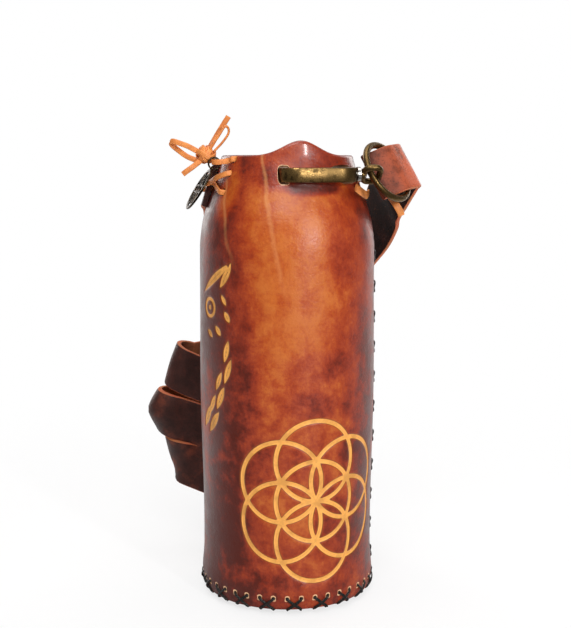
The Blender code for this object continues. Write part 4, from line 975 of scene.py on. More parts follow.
def make_foot_thread():
    """One cord through all the holes of the foot: each cross has two legs, the second over the first."""
    case, strap = bpy.context.scene.case_sizes, bpy.context.scene.strap_sizes
    diameter = strap.thread
    off = CLEAR / 2 + diameter * THREAD_FLATNESS[0] / 2
    over = off + diameter * THREAD_FLATNESS[0]
    edge = float(outer_radius(case.edge_lift))
    leg_end = case.edge_lift + off
    middle_z = (BASE_HOLE_HEIGHT + leg_end) / 2
    rise = case.edge_lift * (BASE_HOLE_RADIUS - BASE_FLAT_RADIUS) / (
        float(inner_radius(case.edge_lift)) - CLEAR - BASE_FLAT_RADIUS)
    under, above = rise - FOOT_UNDER_SINK, rise + case.wall + off
    aside = (BASE_HOLE_RADIUS + BASE_FLAT_RADIUS) / 2
    inside = float(inner_radius(BASE_HOLE_HEIGHT)) - off
    outside = float(outer_radius(BASE_HOLE_HEIGHT)) + off
    step = math.pi / BASE_CROSSES
    rows = []
    for k in range(BASE_CROSSES):
        a, b = 2 * k * step, (2 * k + 1) * step
        for start, end, lift in ((a, b, off), (b, a, over)):
            rows += [
                (start, inside, BASE_HOLE_HEIGHT), (start, outside - FOOT_LEG_SINK, BASE_HOLE_HEIGHT),
                ((a + b) / 2, float(outer_radius(middle_z)) + lift, middle_z),
                (end, float(outer_radius(leg_end)) + off * FOOT_LEG_END_SHARE, leg_end),
                (end, edge - FOOT_EDGE_IN, case.edge_lift - FOOT_EDGE_DOWN),
                (end, BASE_HOLE_RADIUS, under), (end, BASE_HOLE_RADIUS, above),
            ]
        rows.append((b, aside, above))
    return thread_tube("foot_thread", around(*np.array(rows).T), diameter, True, "base_lacing")


def make_seam_thread():
    """One cord up the seam, with crossed legs outside and upright legs inside."""
    diameter = bpy.context.scene.strap_sizes.thread
    off = diameter * THREAD_FLATNESS[0] / 2
    over = off + diameter * THREAD_FLATNESS[0]
    half = SEAM_CROSS_HEIGHT / 2
    beside = SEAM_VALLEY_DEPTH * math.exp(-((SEAM_SIDE / SEAM_VALLEY_REACH) ** 2))
    rows = []
    for middle, turn in zip(*seam_crosses()):
        low, high = middle - half, middle + half
        left, right = SEAM_ANGLE - turn, SEAM_ANGLE + turn
        for side, other, lift in ((left, right, off), (right, left, over)):
            rows += [
                (side, inner_radius(low) - off, low), (side, outer_radius(low) + off - beside, low),
                (SEAM_ANGLE, outer_radius(middle) + lift - SEAM_VALLEY_DEPTH, middle),
                (other, outer_radius(high) + off - beside, high), (other, inner_radius(high) - off, high),
            ]
    return thread_tube("seam_thread", around(*np.array(rows, float).T), diameter, False, "seam_lacing")


# Hook, swivel and ring

NOSE_LIP = np.array((1.6, 0.8)) * MM
BASE_LIP = np.array((1.2, 2.3)) * MM
BAR_CORNER = 0.75 * MM
EAR_THICKNESS = 0.9 * MM
KNUCKLE_RADIUS = 2.3 * MM
SLOT_BEYOND = np.array((5.0, 4.0)) * MM
PIN_HOLE_RADII = np.array((1.1, 1.6)) * MM
COLLAR_LENGTH = 1.4 * MM
EYE_STAND_OFF = 2.1 * MM
EYE_LEAN = math.radians(50)
EYE_CORNER = 2.6 * MM
EYE_OPENING = np.array((4.2, 6.6)) * MM
# The neck's outline: along the swivel from its end, and radius
NECK_PROFILE = np.array(((0, 1.6), (0, 2.4), (0.25, 2.6), (1.1, 2.6), (1.5, 2.2), (1.5, 1.6))) * MM
RING_TANGENT = unit(np.array((0.445, -0.24, -0.86)))
RING_OUTWARD = np.array((0.56, 0.82, 0.09))


def make_hook():
    """The bar: a rectangle with worn corners carried along the oval from the nose's lip round the nose,
    along the spine and round the base to the ears, which are slotted for the gate."""
    hook = bpy.context.scene.hook_sizes
    brass = looks()["antique_brass"]
    middle_n = spine_n() - hook.half_span
    gate_n = middle_n - hook.half_span
    nose = np.radians(np.linspace(270, 90, 40))
    base = np.radians(np.linspace(90, -90, 40))
    u = np.concatenate([HOOK_NOSE_U + NOSE_LIP, HOOK_NOSE_U + hook.half_span * np.cos(nose),
                        np.linspace(HOOK_NOSE_U, HOOK_BASE_U, 12)[1:-1],
                        HOOK_BASE_U + hook.half_span * np.cos(base), HOOK_BASE_U - BASE_LIP])
    n = np.concatenate([[gate_n, gate_n], middle_n + hook.half_span * np.sin(nose), np.full(10, spine_n()),
                        middle_n + hook.half_span * np.sin(base), [gate_n, gate_n]])
    section = band_section(hook.bar_height, hook.bar_thickness, BAR_CORNER, 3)
    bar = carried(hook_point(u, n), np.array((0, 0, 1.0)), section)
    body = grid_object("hook_bar", bar, [brass], smooth_angle=28)
    slot_half = hook.bar_height / 2 - EAR_THICKNESS
    hinge = np.array((HOOK_BASE_U, gate_n))
    low, high = hinge - SLOT_BEYOND, hinge + KNUCKLE_RADIUS
    square_u, square_n = (low + (high - low) * np.array(((0, 0), (1, 0), (1, 1), (0, 1)))).T
    grid = np.stack([hook_point(square_u, square_n, np.full(4, w)) for w in (-slot_half, slot_half)])
    slot = grid_object("slot_cut", grid, [brass])
    reach = hook.bar_height
    starts = np.stack([hook_point(HOOK_BASE_U, gate_n, -reach), hook_point(HOOK_BASE_U, middle_n)])
    ends = np.stack([hook_point(HOOK_BASE_U, gate_n, reach), hook_point(HOOK_BASE_U + 2 * reach, middle_n)])
    cut_out(body, slot, rods("pin_cut", starts, ends, PIN_HOLE_RADII, 20, [brass]))
    soften(body.data, 28)
    return finished(body, "root", "antique_brass", "hook_body")


def eye_centre():
    hook = bpy.context.scene.hook_sizes
    collar_end = HOOK_BASE_U + hook.half_span + hook.bar_thickness / 2 + COLLAR_LENGTH + 2 * CLEAR
    return hook_point(collar_end + hook.eye_rod + EYE_STAND_OFF, spine_n() - hook.half_span)


def make_eye():
    """The swivel's eye: round rod carried along a rounded rectangle, and its neck, a turned sleeve."""
    hook = bpy.context.scene.hook_sizes
    brass = looks()["antique_brass"]
    along, out, up = hook_axes()
    slant = up * math.cos(EYE_LEAN) + out * math.sin(EYE_LEAN)
    half = (EYE_OPENING + hook.eye_rod) / 2
    loop = rounded_loop(half, EYE_CORNER, 10)
    centre = eye_centre()
    path = centre + loop[:, :1] * along + loop[:, 1:] * slant
    rod = carried(path, np.cross(along, slant), round_section(hook.eye_rod / 2, 16), True)
    eye = grid_object("swivel_loop", rod, [brass], closed=True, smooth_angle=60)
    profile = NECK_PROFILE - (half[0] + hook.eye_rod / 2, 0)
    turn = full_turn(32)[:, None, None]
    ring = profile[None, :, 1:] * (np.cos(turn) * up + np.sin(turn) * out)
    sleeve = grid_object("swivel_neck", centre + along * profile[None, :, :1] + ring, [brass], closed=True,
                         smooth_angle=35)
    finished(sleeve, "swivel", "antique_brass")
    return finished(eye, "swivel", "antique_brass", "swivel_eye")


def ring_frame():
    """The O-ring's middle, the strap's direction across it, outward, its axis, and its radius."""
    hook = bpy.context.scene.hook_sizes
    out = unit(RING_OUTWARD - RING_TANGENT * (RING_OUTWARD @ RING_TANGENT))
    radius = (hook.ring_inside + hook.ring_wire) / 2
    return eye_centre() + out * radius, RING_TANGENT, out, np.cross(RING_TANGENT, out), radius


def torus(name, middle, first, second, radius, wire_width, look, parts=48, sides=10, flatten=1.0):
    """A ring of wire: a circle in two directions with a round or flattened section."""
    turn = full_turn(parts)[:, None]
    path = middle + radius * (first * np.cos(turn) + second * np.sin(turn))
    section = round_section(wire_width / 2, sides) * (flatten, 1.0)
    return grid_object(name, carried(path, np.cross(first, second), section, True), [look], closed=True,
                       smooth_angle=60)


def make_ring():
    """The O-ring: a circle of wire, carried round its middle."""
    hook = bpy.context.scene.hook_sizes
    middle, along, out, _, radius = ring_frame()
    ring = torus("o_ring_brass", middle, out, along, radius, hook.ring_wire, looks()["antique_brass"], 120, 20)
    return finished(ring, "ring", "antique_brass", "o_ring")


# Strap

FOLD_SHARES = np.array(((-0.50, -1.30), (-0.28, -0.85), (0.0, 0.05), (0.30, 0.90), (0.65, 1.0)))
DOWN_SHARES = np.array((
    (1.205, 0.330, 0.880), (1.175, 0.545, 0.844), (1.080, 0.770, 0.797), (0.915, 0.990, 0.750),
    (0.700, 1.190, 0.690), (0.400, 1.360, 0.620), (0.040, 1.450, 0.560), (-0.350, 1.475, 0.510),
    (-0.750, 1.470, 0.475),
))
UP_SHARES = np.array((
    (0.50, 1.55, 0.120), (0.34, 1.63, 0.140), (0.12, 1.66, 0.230), (-0.12, 1.66, 0.350),
    (-0.40, 1.65, 0.490), (-0.62, 1.62, 0.610), (-0.77, 1.55, 0.695), (-0.88, 1.30, 0.765),
    (-0.93, 0.97, 0.818), (-0.905, 0.63, 0.858),
))
STRAP_END_SHARES = np.array((
    (-0.310, 0.893, 1.40), (-0.280, 0.904, 1.12), (-0.252, 0.909, 0.88), (-0.224, 0.911, 0.80),
))
# Share of the way down in which the strap turns upright, and how its end starts to lean on the wall
DOWN_TURN_SHARE, END_LEAN_SLOPE = 0.6, 3
STRAP_STEP = 1.6 * MM
STRAP_TRIM = np.array((0.2, 0.15)) * MM
STRAP_CORNER = 0.7 * MM
STRAP_EDGE_WIDTH = 0.55 * MM
STRAP_CUP_DEPTH, STRAP_CUP_RUN = 0.12 * MM, 20 * MM
# Where the strap is paler along its length from the fold: partly wear, partly a painted highlight.
STRAP_WEAR_HIGHLIGHT_PLACE, STRAP_WEAR_HIGHLIGHT_REACH = 26 * MM, 22 * MM
STRAP_FLARE_PLACE, STRAP_FLARE_REACH, STRAP_FLARE_SHARE = np.array((47.0, 20.0, 180.0)) * MM, 14 * MM, 0.50
BUNDLE_CENTRE_SHARES = np.array((-0.26, 1.30))
BUNDLE_HALF_LENGTH, BUNDLE_HALF_WIDTH = 47.4 * MM, 6.6 * MM
BUNDLE_TOP = 91.14 * MM
BUNDLE_TURNS, BUNDLE_GAP, COIL_STEP = 2.6, 1.7 * MM, 0.0125
BUNDLE_MIDDLE = BUNDLE_TOP - 18 * MM
BUNDLE_LEAN_SHARE, BUNDLE_LEAN_REACH, BUNDLE_LEAN_BEND = 0.33, 27.5 * MM, 4 * MM
BUNDLE_RISE_SHARE, BUNDLE_RISE_FROM, BUNDLE_RISE_BEND = 0.35, 26 * MM, 6 * MM
# Turns where the wound strap bulges at the left, and by how much
BUNDLE_BULGES = ((0.05, 0.6 * MM), (1.05, 5.4 * MM), (2.05, 1.0 * MM))
BUNDLE_BULGE_REACH, BUNDLE_BULGE_POWER = 9 * MM, 0.65
BUNDLE_BARE_BELOW, BUNDLE_BARE_FADE = BUNDLE_TOP + 8 * MM, 4 * MM


def fold_knots():
    """The strap's way round the ring, in the ring's own directions: its loose end, through the ring, and
    round the outer side on an arc."""
    hook, strap = bpy.context.scene.hook_sizes, bpy.context.scene.strap_sizes
    middle, _, out, axis, radius = ring_frame()
    layer = hook.ring_wire / 2 + CLEAR + strap.thickness / 2
    turn = np.radians(np.linspace(75, -15, 5))
    arc = layer * compass(turn) + (radius + CLEAR, 0)
    flat = np.vstack([FOLD_SHARES * (radius, layer), arc])
    return middle + flat[:, :1] * out + flat[:, 1:] * axis


def wound(share):
    """The wound strap's middle line and its down direction after a number of turns: an oval seen from
    above, sinking a strap's width each turn, whose left ends lean out towards one height."""
    case, strap = bpy.context.scene.case_sizes, bpy.context.scene.strap_sizes
    half, bend = BUNDLE_HALF_LENGTH, BUNDLE_HALF_WIDTH
    straight, end = 2 * (half - bend), math.pi * bend
    along = share % 1.0 * 2 * (straight + end)
    left = math.pi / 2 + along / bend
    right = (along - end - straight) / bend - math.pi / 2
    parts = [along < end, along < end + straight, along < 2 * end + straight]
    x = np.select(parts, [-straight / 2 + bend * np.cos(left), -straight / 2 + along - end,
                          straight / 2 + bend * np.cos(right)], straight / 2 - (along - 2 * end - straight))
    y = np.select(parts, [bend * np.sin(left), -bend, bend * np.sin(right)], bend)
    beyond = -x - BUNDLE_RISE_FROM
    z = BUNDLE_TOP - (strap.width + BUNDLE_GAP) * share
    z = z + BUNDLE_RISE_SHARE * (beyond + np.hypot(beyond, BUNDLE_RISE_BEND)) / 2
    lean = BUNDLE_LEAN_SHARE * np.clip(-x / half, 0, None) ** 2
    above = z - BUNDLE_MIDDLE
    bent = np.hypot(above, BUNDLE_LEAN_BEND)
    slope = lean * above / bent
    centre = BUNDLE_CENTRE_SHARES * case.radius
    down = unit(np.stack([-slope, np.zeros_like(slope), -np.ones_like(slope)], 1))
    return np.stack([centre[0] + x - lean * (BUNDLE_LEAN_REACH - bent), centre[1] + y, z], 1), down


def strap_line():
    """Knots of the whole strap with the direction across it at each: round the ring, down, wound, up."""
    case, strap = bpy.context.scene.case_sizes, bpy.context.scene.strap_sizes
    scale = np.array((case.radius, case.radius, case.height))
    fold, down = fold_knots(), DOWN_SHARES * scale
    coil, coil_across = wound(np.arange(-0.02, BUNDLE_TURNS + 1e-6, COIL_STEP))
    turn, height, stand = STRAP_END_SHARES.T
    last = np.vstack([UP_SHARES * scale,
                      on_wall(2 * math.pi * turn, height * case.height, stand * strap.thickness)])
    top, low = height[-1] * case.height, height[0] * case.height
    slope = (outer_radius(top - strap.width / 2) - outer_radius(top + strap.width / 2)) / strap.width
    lean = np.clip((last[:, 2] / low - 1) * END_LEAN_SLOPE + 1, 0, 1)[:, None]
    last_across = unit(last * (1, 1, 0)) * slope * lean - (0, 0, 1)
    run = np.cumsum(np.linalg.norm(np.diff(np.vstack([fold[-1:], down]), axis=0), axis=1))
    share = np.clip(run / run[-1] / DOWN_TURN_SHARE, 0, 1)[:, None]
    down_across = unit(RING_TANGENT * (1 - share) - np.array((0, 0, 1)) * share)
    across = np.vstack([np.tile(RING_TANGENT, (len(fold), 1)), down_across, coil_across, last_across])
    return np.vstack([fold, down, coil, last]), across


def nearness(path, place, reach):
    """A bell curve of the distance from a place, for every point of a path."""
    return np.exp(-(np.linalg.norm(path - place, axis=1) / reach) ** 2)[:, None]


def make_strap():
    """One band from the fold at the ring to the laced end: a rounded section, slightly cupped, carried
    along the strap's line. The cupping is a share of the squared distance from the middle."""
    strap = bpy.context.scene.strap_sizes
    line = smooth(np.hstack(strap_line()), STRAP_STEP)
    path, over = line[:, :3], line[:, 3:]
    width, thickness = np.array((strap.width, strap.thickness)) - STRAP_TRIM
    section = edge_divided(band_section(width, thickness, STRAP_CORNER, 4), 9)
    side, face = section.T
    run = np.concatenate([[0], np.cumsum(np.linalg.norm(np.diff(path, axis=0), axis=1))])
    level = (side / (strap.width / 2)) ** 2
    cup = -STRAP_CUP_DEPTH * (1 - np.exp(-run / STRAP_CUP_RUN))[:, None] * level
    for turn, bulge in BUNDLE_BULGES:
        middle = wound(np.array([turn]))[0][0]
        cup = cup + bulge * nearness(path, middle, BUNDLE_BULGE_REACH) * (1 - level ** BUNDLE_BULGE_POWER)
    flare = nearness(path, STRAP_FLARE_PLACE, STRAP_FLARE_REACH)
    wide = side * (1 + STRAP_FLARE_SHARE * flare * (side < 0))
    grid = carried(path, over, np.stack(np.broadcast_arrays(wide, face + cup), -1))
    flat = np.stack(np.broadcast_arrays(side, run[:, None]), -1)
    edge, above = ((section + np.roll(section, -1, 0)) / 2).T
    face_look = np.where(np.abs(edge) > strap.width / 2 - STRAP_EDGE_WIDTH, 2, np.where(above > 0, 0, 1))
    leathers = [looks()[name] for name in ("strap_grain", "strap_flesh", "strap_edge")]
    band = grid_object("shoulder_strap", grid, leathers, flat=flat, smooth_angle=60,
                       face_look=np.tile(face_look, len(path) - 1))
    # Painted highlight with wear near the fold round the ring.
    wear_and_highlight = np.exp(-((run - STRAP_WEAR_HIGHLIGHT_PLACE) / STRAP_WEAR_HIGHLIGHT_REACH) ** 2)
    point_value(band.data, "wear_and_highlight", np.repeat(wear_and_highlight, len(section)))
    bare = np.clip((BUNDLE_BARE_BELOW - path[:, 2]) / BUNDLE_BARE_FADE, 0, 1)
    point_value(band.data, "bare", np.repeat(bare, len(section)))
    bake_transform(band)
    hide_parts("strap_ring_fold", "strap_down", "strap_wound", "strap_up")
    return band


# Laces

LACE_STEP, LACE_CORNER = 0.6 * MM, 0.38 * MM
TIE_PLACE, TIE_CORNER, TIE_OFF, TIE_SLACK = 0.50, 3 * MM, 0.5 * MM, 1 * MM
KEEPER_KNOTS = np.array((
    (46.5, 1.0, 187.0), (47.6, -4.6, 184.0), (49.2, -7.6, 181.4), (51.2, -7.4, 178.0), (51.6, -6.6, 176.6),
)) * MM
# Degrees round the case, share of its height, and mm off the wall
SEAM_TAG_ROWS = np.array(((62, 0.902, 0.7), (72, 0.890, 0.8), (82, 0.884, 1.2), (91, 0.887, 2.2)))


def lace(name, knots, across, node=None, body="root", closed=False, step=LACE_STEP, width_share=1.0):
    """Flat lace with rounded edges along a smooth curve through the knots."""
    strap = bpy.context.scene.strap_sizes
    knots = np.asarray(knots, float)
    rows = np.hstack([knots, np.broadcast_to(across, knots.shape)])
    rows = ring_curve(rows, step, 40) if closed else smooth(rows, step)
    section = band_section(strap.lace_width * width_share, strap.lace_thickness, LACE_CORNER, 3)
    grid = carried(rows[:, :3], rows[:, 3:], section, closed)
    made = grid_object(name, grid, [looks()["lace_leather"]], closed=closed, smooth_angle=50)
    return finished(made, body, "lace_leather", *([node] if node else []))


def make_bundle_tie():
    """Flat lace round the wound strap: a rounded rectangle seen from the side."""
    case, strap = bpy.context.scene.case_sizes, bpy.context.scene.strap_sizes
    half, bend = BUNDLE_HALF_LENGTH, BUNDLE_HALF_WIDTH
    x, y = BUNDLE_CENTRE_SHARES * case.radius + (half * TIE_PLACE, 0)
    off = strap.thickness / 2 + CLEAR + TIE_OFF
    straight, end = 2 * (half - bend), math.pi * bend
    share = (end + straight / 2 + half * TIE_PLACE) / (straight + end) / 2
    pitch = strap.width + BUNDLE_GAP
    top = BUNDLE_TOP - share * pitch + strap.width / 2 + off + TIE_SLACK
    low = BUNDLE_TOP - BUNDLE_TURNS * pitch - strap.width / 2 - off
    loop = (y, (top + low) / 2) + rounded_loop(np.array((bend + off, (top - low) / 2)), TIE_CORNER, 6)
    lace("bundle_lace", np.insert(loop, 0, x, axis=1), (1.0, 0, 0), "bundle_tie", closed=True,
         step=1.5 * MM, width_share=1.25)


def make_end_laces():
    """Two closed laces that cross on the wall, each out of a hole, over the strap's end, in and back."""
    strap = bpy.context.scene.strap_sizes
    low = strap.lace_thickness / 2 + 2 * CLEAR
    over = low + strap.thickness + 2 * CLEAR
    turns = 2 * math.pi * np.array((*LACE_ON_WALL_TURNS, *LACE_OVER_STRAP_TURNS))
    back_shares = np.linspace(1, 0, 6)
    for (front, back), extra in zip(LACE_PAIRS, (strap.lace_thickness + 3 * CLEAR, 0.0)):
        (a, za), (b, zb) = lace_anchor(front), lace_anchor(back)
        shares = np.array((0.0, *((turns - a) / (b - a)), 1.0))
        lifts = np.array((low, low + extra, low + extra, over + extra, over + extra, over + extra + CLEAR))
        outside = on_wall(a + (b - a) * shares, za + (zb - za) * shares, lifts)
        z = za + (zb - za) * back_shares
        sunk = low + extra * np.array((0, 1, 1, 1, 1, 0))
        inside = around(a + (b - a) * back_shares, inner_radius(z) - sunk, z)
        across = np.cross(unit(outside[-1] - outside[0]), around((a + b) / 2, 1.0, 0.0))
        lace(f"strap_end_lace_{front}", np.vstack([outside, inside]), across, f"end_lace_{front}",
             closed=True)


def make_lace_tags():
    """Two short loose ends of lace: one hangs out of the strap's fold, one lies at the seam's top."""
    case = bpy.context.scene.case_sizes
    lace("fold_lace_tag", KEEPER_KNOTS, (1.0, 0.2, 0.6), body="swivel", width_share=1.35)
    degrees, height, off = SEAM_TAG_ROWS.T
    lace("seam_lace_tag", on_wall(np.radians(degrees), height * case.height, off * MM), (0.1, 0.0, 1.0),
         width_share=1.5)


# Bow

BOW_TURN_SHARE = -0.192
BOW_HEIGHT, BOW_STAND_OFF, BOW_REACH = 203.805 * MM, 8.8 * MM, 16.5 * MM
# Knots in shares of the reach: to the left, towards the viewer and up
BOW_LOOPS = {
    "left": ((0.20, 0.06, 0.08), (0.46, 0.10, 0.22), (0.70, 0.10, 0.31), (0.87, 0.07, 0.36),
             (0.94, 0.00, 0.33), (0.89, -0.07, 0.24), (0.72, -0.08, 0.10), (0.50, -0.04, -0.05),
             (0.22, 0.00, -0.16)),
    "right": ((-0.13, 0.10, 0.18), (-0.36, 0.17, 0.50), (-0.52, 0.17, 0.74), (-0.61, 0.11, 0.71),
              (-0.61, 0.05, 0.56), (-0.45, 0.02, 0.33), (-0.22, 0.00, 0.09)),
}
BOW_ENDS = {
    "left": ((0.14, 0.10, -0.16), (0.34, 0.24, -0.32), (0.48, 0.27, -0.42), (0.60, 0.24, -0.51)),
    "right": ((-0.12, -0.08, 0.22), (-0.28, -0.15, 0.50), (-0.44, -0.17, 0.76), (-0.61, -0.15, 1.02)),
}
# Shares of the turn, of the climb and of the bow's distance from the wall
STRAND_SHARES = np.array(((0.22, 0.45, 0.10), (0.36, 0.80, 0.32), (0.50, 1.0, 0.60), (0.70, 1.0, 0.74)))
KNOT_RADIUS, KNOT_FILL, KNOT_SQUASH = 4.2 * MM, 0.80, 0.85
KNOT_POLE, KNOT_RIDGES, KNOT_TWIST, KNOT_BANDS = 0.06, (0.10, 3), 2.2, (0.06, 5)
KNOT_WRAP_LEANS = ((28, 12), (-38, -20), (95, 8))
KNOT_WRAP_SHARE, KNOT_WRAP_GROWTH, KNOT_WRAP_SWAY = 0.86, 0.05, 0.25


def bow_centre():
    return on_wall(2 * math.pi * BOW_TURN_SHARE, BOW_HEIGHT, BOW_STAND_OFF)


def strand_knots():
    """The lace's way to the bow: through the wall, along it and out to the knot."""
    strap = bpy.context.scene.strap_sizes
    angle, z = lace_anchor("upper")
    bow = 2 * math.pi * BOW_TURN_SHARE
    off = strap.lace_thickness / 2 + CLEAR
    climb = BOW_HEIGHT - KNOT_RADIUS + strap.lace_thickness - z
    turned, climbed, out = STRAND_SHARES.T
    start = np.stack([around(angle, inner_radius(z) - off, z), on_wall(angle, z, off + CLEAR)])
    way = on_wall(angle + (bow - angle) * turned, z + climb * climbed, BOW_STAND_OFF * out)
    return np.vstack([start, way])


def make_bow():
    """Bow of tan lace: two loops, two ends, the strand that comes to it and the wrapped knot."""
    centre = bow_centre()
    axes = np.array(((-1, 0, 0), (0, -1, 0), (0, 0, 1.0)))
    toward = np.array((0.0, -1.0, 0.0))
    for kind, table in (("loop", BOW_LOOPS), ("end", BOW_ENDS)):
        for side, rows in table.items():
            knots = centre + np.array(rows) @ axes * BOW_REACH
            edge_on = (kind, side) == ("loop", "right")
            across = toward if edge_on else np.cross(toward, knots[len(knots) // 2] - knots[0])
            lace(f"bow_{kind}_lace_{side}", knots, across, f"bow_{kind}_{side}")
    lace("bow_strand_lace", strand_knots(), (0, 0, 1.0), "bow_strand")
    make_knot(centre)


def make_knot(centre):
    """A ridged ball of lace with three turns of lace over it."""
    polar = np.linspace(KNOT_POLE, math.pi - KNOT_POLE, 30)[:, None]
    turn = full_turn(40)[None]
    (ridge, ridges), (band, bands) = KNOT_RIDGES, KNOT_BANDS
    swell = ridge * np.cos(ridges * turn + KNOT_TWIST * np.cos(polar)) + band * np.cos(bands * polar)
    radius = KNOT_RADIUS * KNOT_FILL * (1 + swell)
    across = radius * np.sin(polar)
    local = np.stack([radius * np.cos(polar), across * np.cos(turn) * KNOT_SQUASH, across * np.sin(turn)], -1)
    ball = grid_object("bow_knot_lace", centre + local, [looks()["lace_leather"]], smooth_angle=80)
    finished(ball, "root", "lace_leather", "bow_knot")
    turn = full_turn(14)
    ring = np.stack([KNOT_WRAP_SWAY * np.sin(2 * turn), -np.cos(turn), np.sin(turn)], 1) * KNOT_RADIUS
    for k, (tip, lean) in enumerate(KNOT_WRAP_LEANS):
        tipped, leant = Matrix.Rotation(math.radians(tip), 3, "Y"), Matrix.Rotation(math.radians(lean), 3, "X")
        spin = np.array(tipped @ leant)
        size = KNOT_WRAP_SHARE + KNOT_WRAP_GROWTH * k
        lace(f"bow_knot_wrap_{k}", centre + ring * size @ spin.T, spin[:, 0], closed=True, step=0.5 * MM)


# Charm

JUMP_RING_SHARE, JUMP_RING_RADIUS, JUMP_RING_WIRE = 0.4, 3.0 * MM, 0.8 * MM
CHARM_ANGLE, CHARM_LEAN = math.radians(-77), math.radians(32)
CHARM_RADIUS, CHARM_EYE_RADIUS = 10.4 * MM, 0.8 * MM
CHARM_RIM_WIRE, CHARM_RIM_FLATNESS = 1.7 * MM, 0.62
CHARM_HUB_RADIUS, CHARM_HUB_WIRE, CHARM_HUB_FLATNESS = 2.1 * MM, 0.9 * MM, 0.7
CHARM_LUG_RADIUS, CHARM_LUG_WIRE = 1.2 * MM, 0.8 * MM
PETALS, PETAL_MIDDLE, PETAL_HALF_LENGTH, PETAL_HALF_WIDTH = 6, 5.4 * MM, 3.3 * MM, 1.75 * MM
PETAL_WIRE_RADIUS, PETAL_FLATNESS = 0.42 * MM, 1.1


def charm_frame():
    """Where the jump ring rests on the strand, and the charm's directions: down, facing and aside."""
    strand = strand_knots()
    rests = strand[-2] + (strand[-1] - strand[-2]) * JUMP_RING_SHARE
    outward = around(CHARM_ANGLE, 1.0, 0.0)
    down = outward * math.sin(CHARM_LEAN) - np.array((0, 0, math.cos(CHARM_LEAN)))
    facing = outward * math.cos(CHARM_LEAN) + np.array((0, 0, math.sin(CHARM_LEAN)))
    return rests, down, facing, np.cross(facing, down)


def make_charm():
    """Openwork disc in blackened brass: a rim, a small ring in the middle, six petals between, and the
    jump ring that it hangs from."""
    strap = bpy.context.scene.strap_sizes
    black = looks()["blackened_brass"]
    rests, down, facing, side = charm_frame()
    inner, wire_middle = JUMP_RING_RADIUS - JUMP_RING_WIRE, JUMP_RING_RADIUS - JUMP_RING_WIRE / 2
    middle = rests + down * (inner - strap.lace_width / 2 - CLEAR)
    jump = torus("charm_jump_ring", middle, down, facing, wire_middle, JUMP_RING_WIRE, black, 36, 10)
    finished(jump, "pendant", "blackened_brass", "jump_ring")
    eye = middle + down * (wire_middle + CHARM_EYE_RADIUS - JUMP_RING_WIRE / 2 - CLEAR)
    centre = eye + down * CHARM_RADIUS
    pieces = [
        torus("rim", centre, down, side, CHARM_RADIUS - CHARM_RIM_WIRE / 2, CHARM_RIM_WIRE, black, 64, 10,
              CHARM_RIM_FLATNESS),
        torus("hub", centre, down, side, CHARM_HUB_RADIUS, CHARM_HUB_WIRE, black, 28, 8, CHARM_HUB_FLATNESS),
        torus("lug", eye, down, side, CHARM_LUG_RADIUS, CHARM_LUG_WIRE, black, 24, 8),
    ]
    share = full_turn(28)[:, None]
    section = round_section(PETAL_WIRE_RADIUS, 8) * (PETAL_FLATNESS, 1.0)
    for turn in (np.arange(PETALS) + 0.5) * 2 * math.pi / PETALS:
        away = down * math.cos(turn) + side * math.sin(turn)
        beside = down * -math.sin(turn) + side * math.cos(turn)
        path = centre + away * (PETAL_MIDDLE + PETAL_HALF_LENGTH * np.cos(share))
        path = path + beside * (PETAL_HALF_WIDTH * np.sin(share))
        pieces.append(grid_object("petal", carried(path, facing, section, True), [black], closed=True,
                                  smooth_angle=60))
    return finished(joined("charm_openwork", pieces), "pendant", "blackened_brass", "charm")


def joined(name, pieces):
    """Joins pieces into one mesh, with their places kept."""
    work = bmesh.new()
    for piece in pieces:
        work.from_mesh(piece.data)
    mesh = bpy.data.meshes.new(name)
    work.to_mesh(mesh)
    work.free()
    mesh.materials.append(pieces[0].data.materials[0])
    soften(mesh, 60)
    for piece in pieces:
        bpy.data.objects.remove(piece, do_unlink=True)
    made = bpy.data.objects.new(name, mesh)
    bpy.context.scene.collection.objects.link(made)
    return made


CAD_FITTINGS = {
    "hook_gate": "antique_brass", "gate_pin": "spring_steel", "gate_spring": "spring_steel",
    "swivel_post": "nickel", "swivel_collar": "nickel",
}


def keep_cad_fittings():
    """The gate, pin, spring, post and collar keep their own shape and get their metal."""
    for node, look in CAD_FITTINGS.items():
        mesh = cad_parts[node].data
        mesh.materials.clear()
        mesh.materials.append(looks()[look])


# Stage

CAMERA_PLACE, CAMERA_DOWN, CAMERA_LENS = (-0.00081, -0.5204, 0.2068), 8.35, 64.857
FLOOR_HALF_WIDTH, FLOOR_FRONT, FLOOR_BACK, FLOOR_RISE, FLOOR_BEND = 1.6, -1.2, 0.9, 1.4, 0.35
AIM, PEAK = (0, 0, 0.11), (0.01, -0.03, 0.20)
WHITE, SIDE_TINT = (1.0, 1.0, 1.0), (1.0, 0.95, 0.92)
PAPER, PAPER_IN_MIRRORS = linear("f7f7f7"), linear("595959")
WORLD_STRENGTH = 0.16
# Name, place, target, width and height, power and colour of each light
LIGHTS = (
    ("left_softbox", (-0.60, 0.82, 0.28), AIM, (0.30, 0.9), 3.4, SIDE_TINT),
    ("right_softbox", (0.60, 0.82, 0.28), AIM, (0.30, 0.9), 3.4, SIDE_TINT),
    ("peak_strip", (0.42, -0.68, 0.37), PEAK, (0.035, 0.12), 2.4, WHITE),
    ("bar_strip", (0.31, -0.76, 0.20), PEAK, (0.03, 0.08), 0.30, WHITE),
    ("key_softbox", (-0.05, -0.80, 0.95), AIM, (0.6, 0.4), 6.1, WHITE),
    ("top_softbox", (0.0, 0.05, 1.0), AIM, (0.7, 0.7), 4.0, WHITE),
)


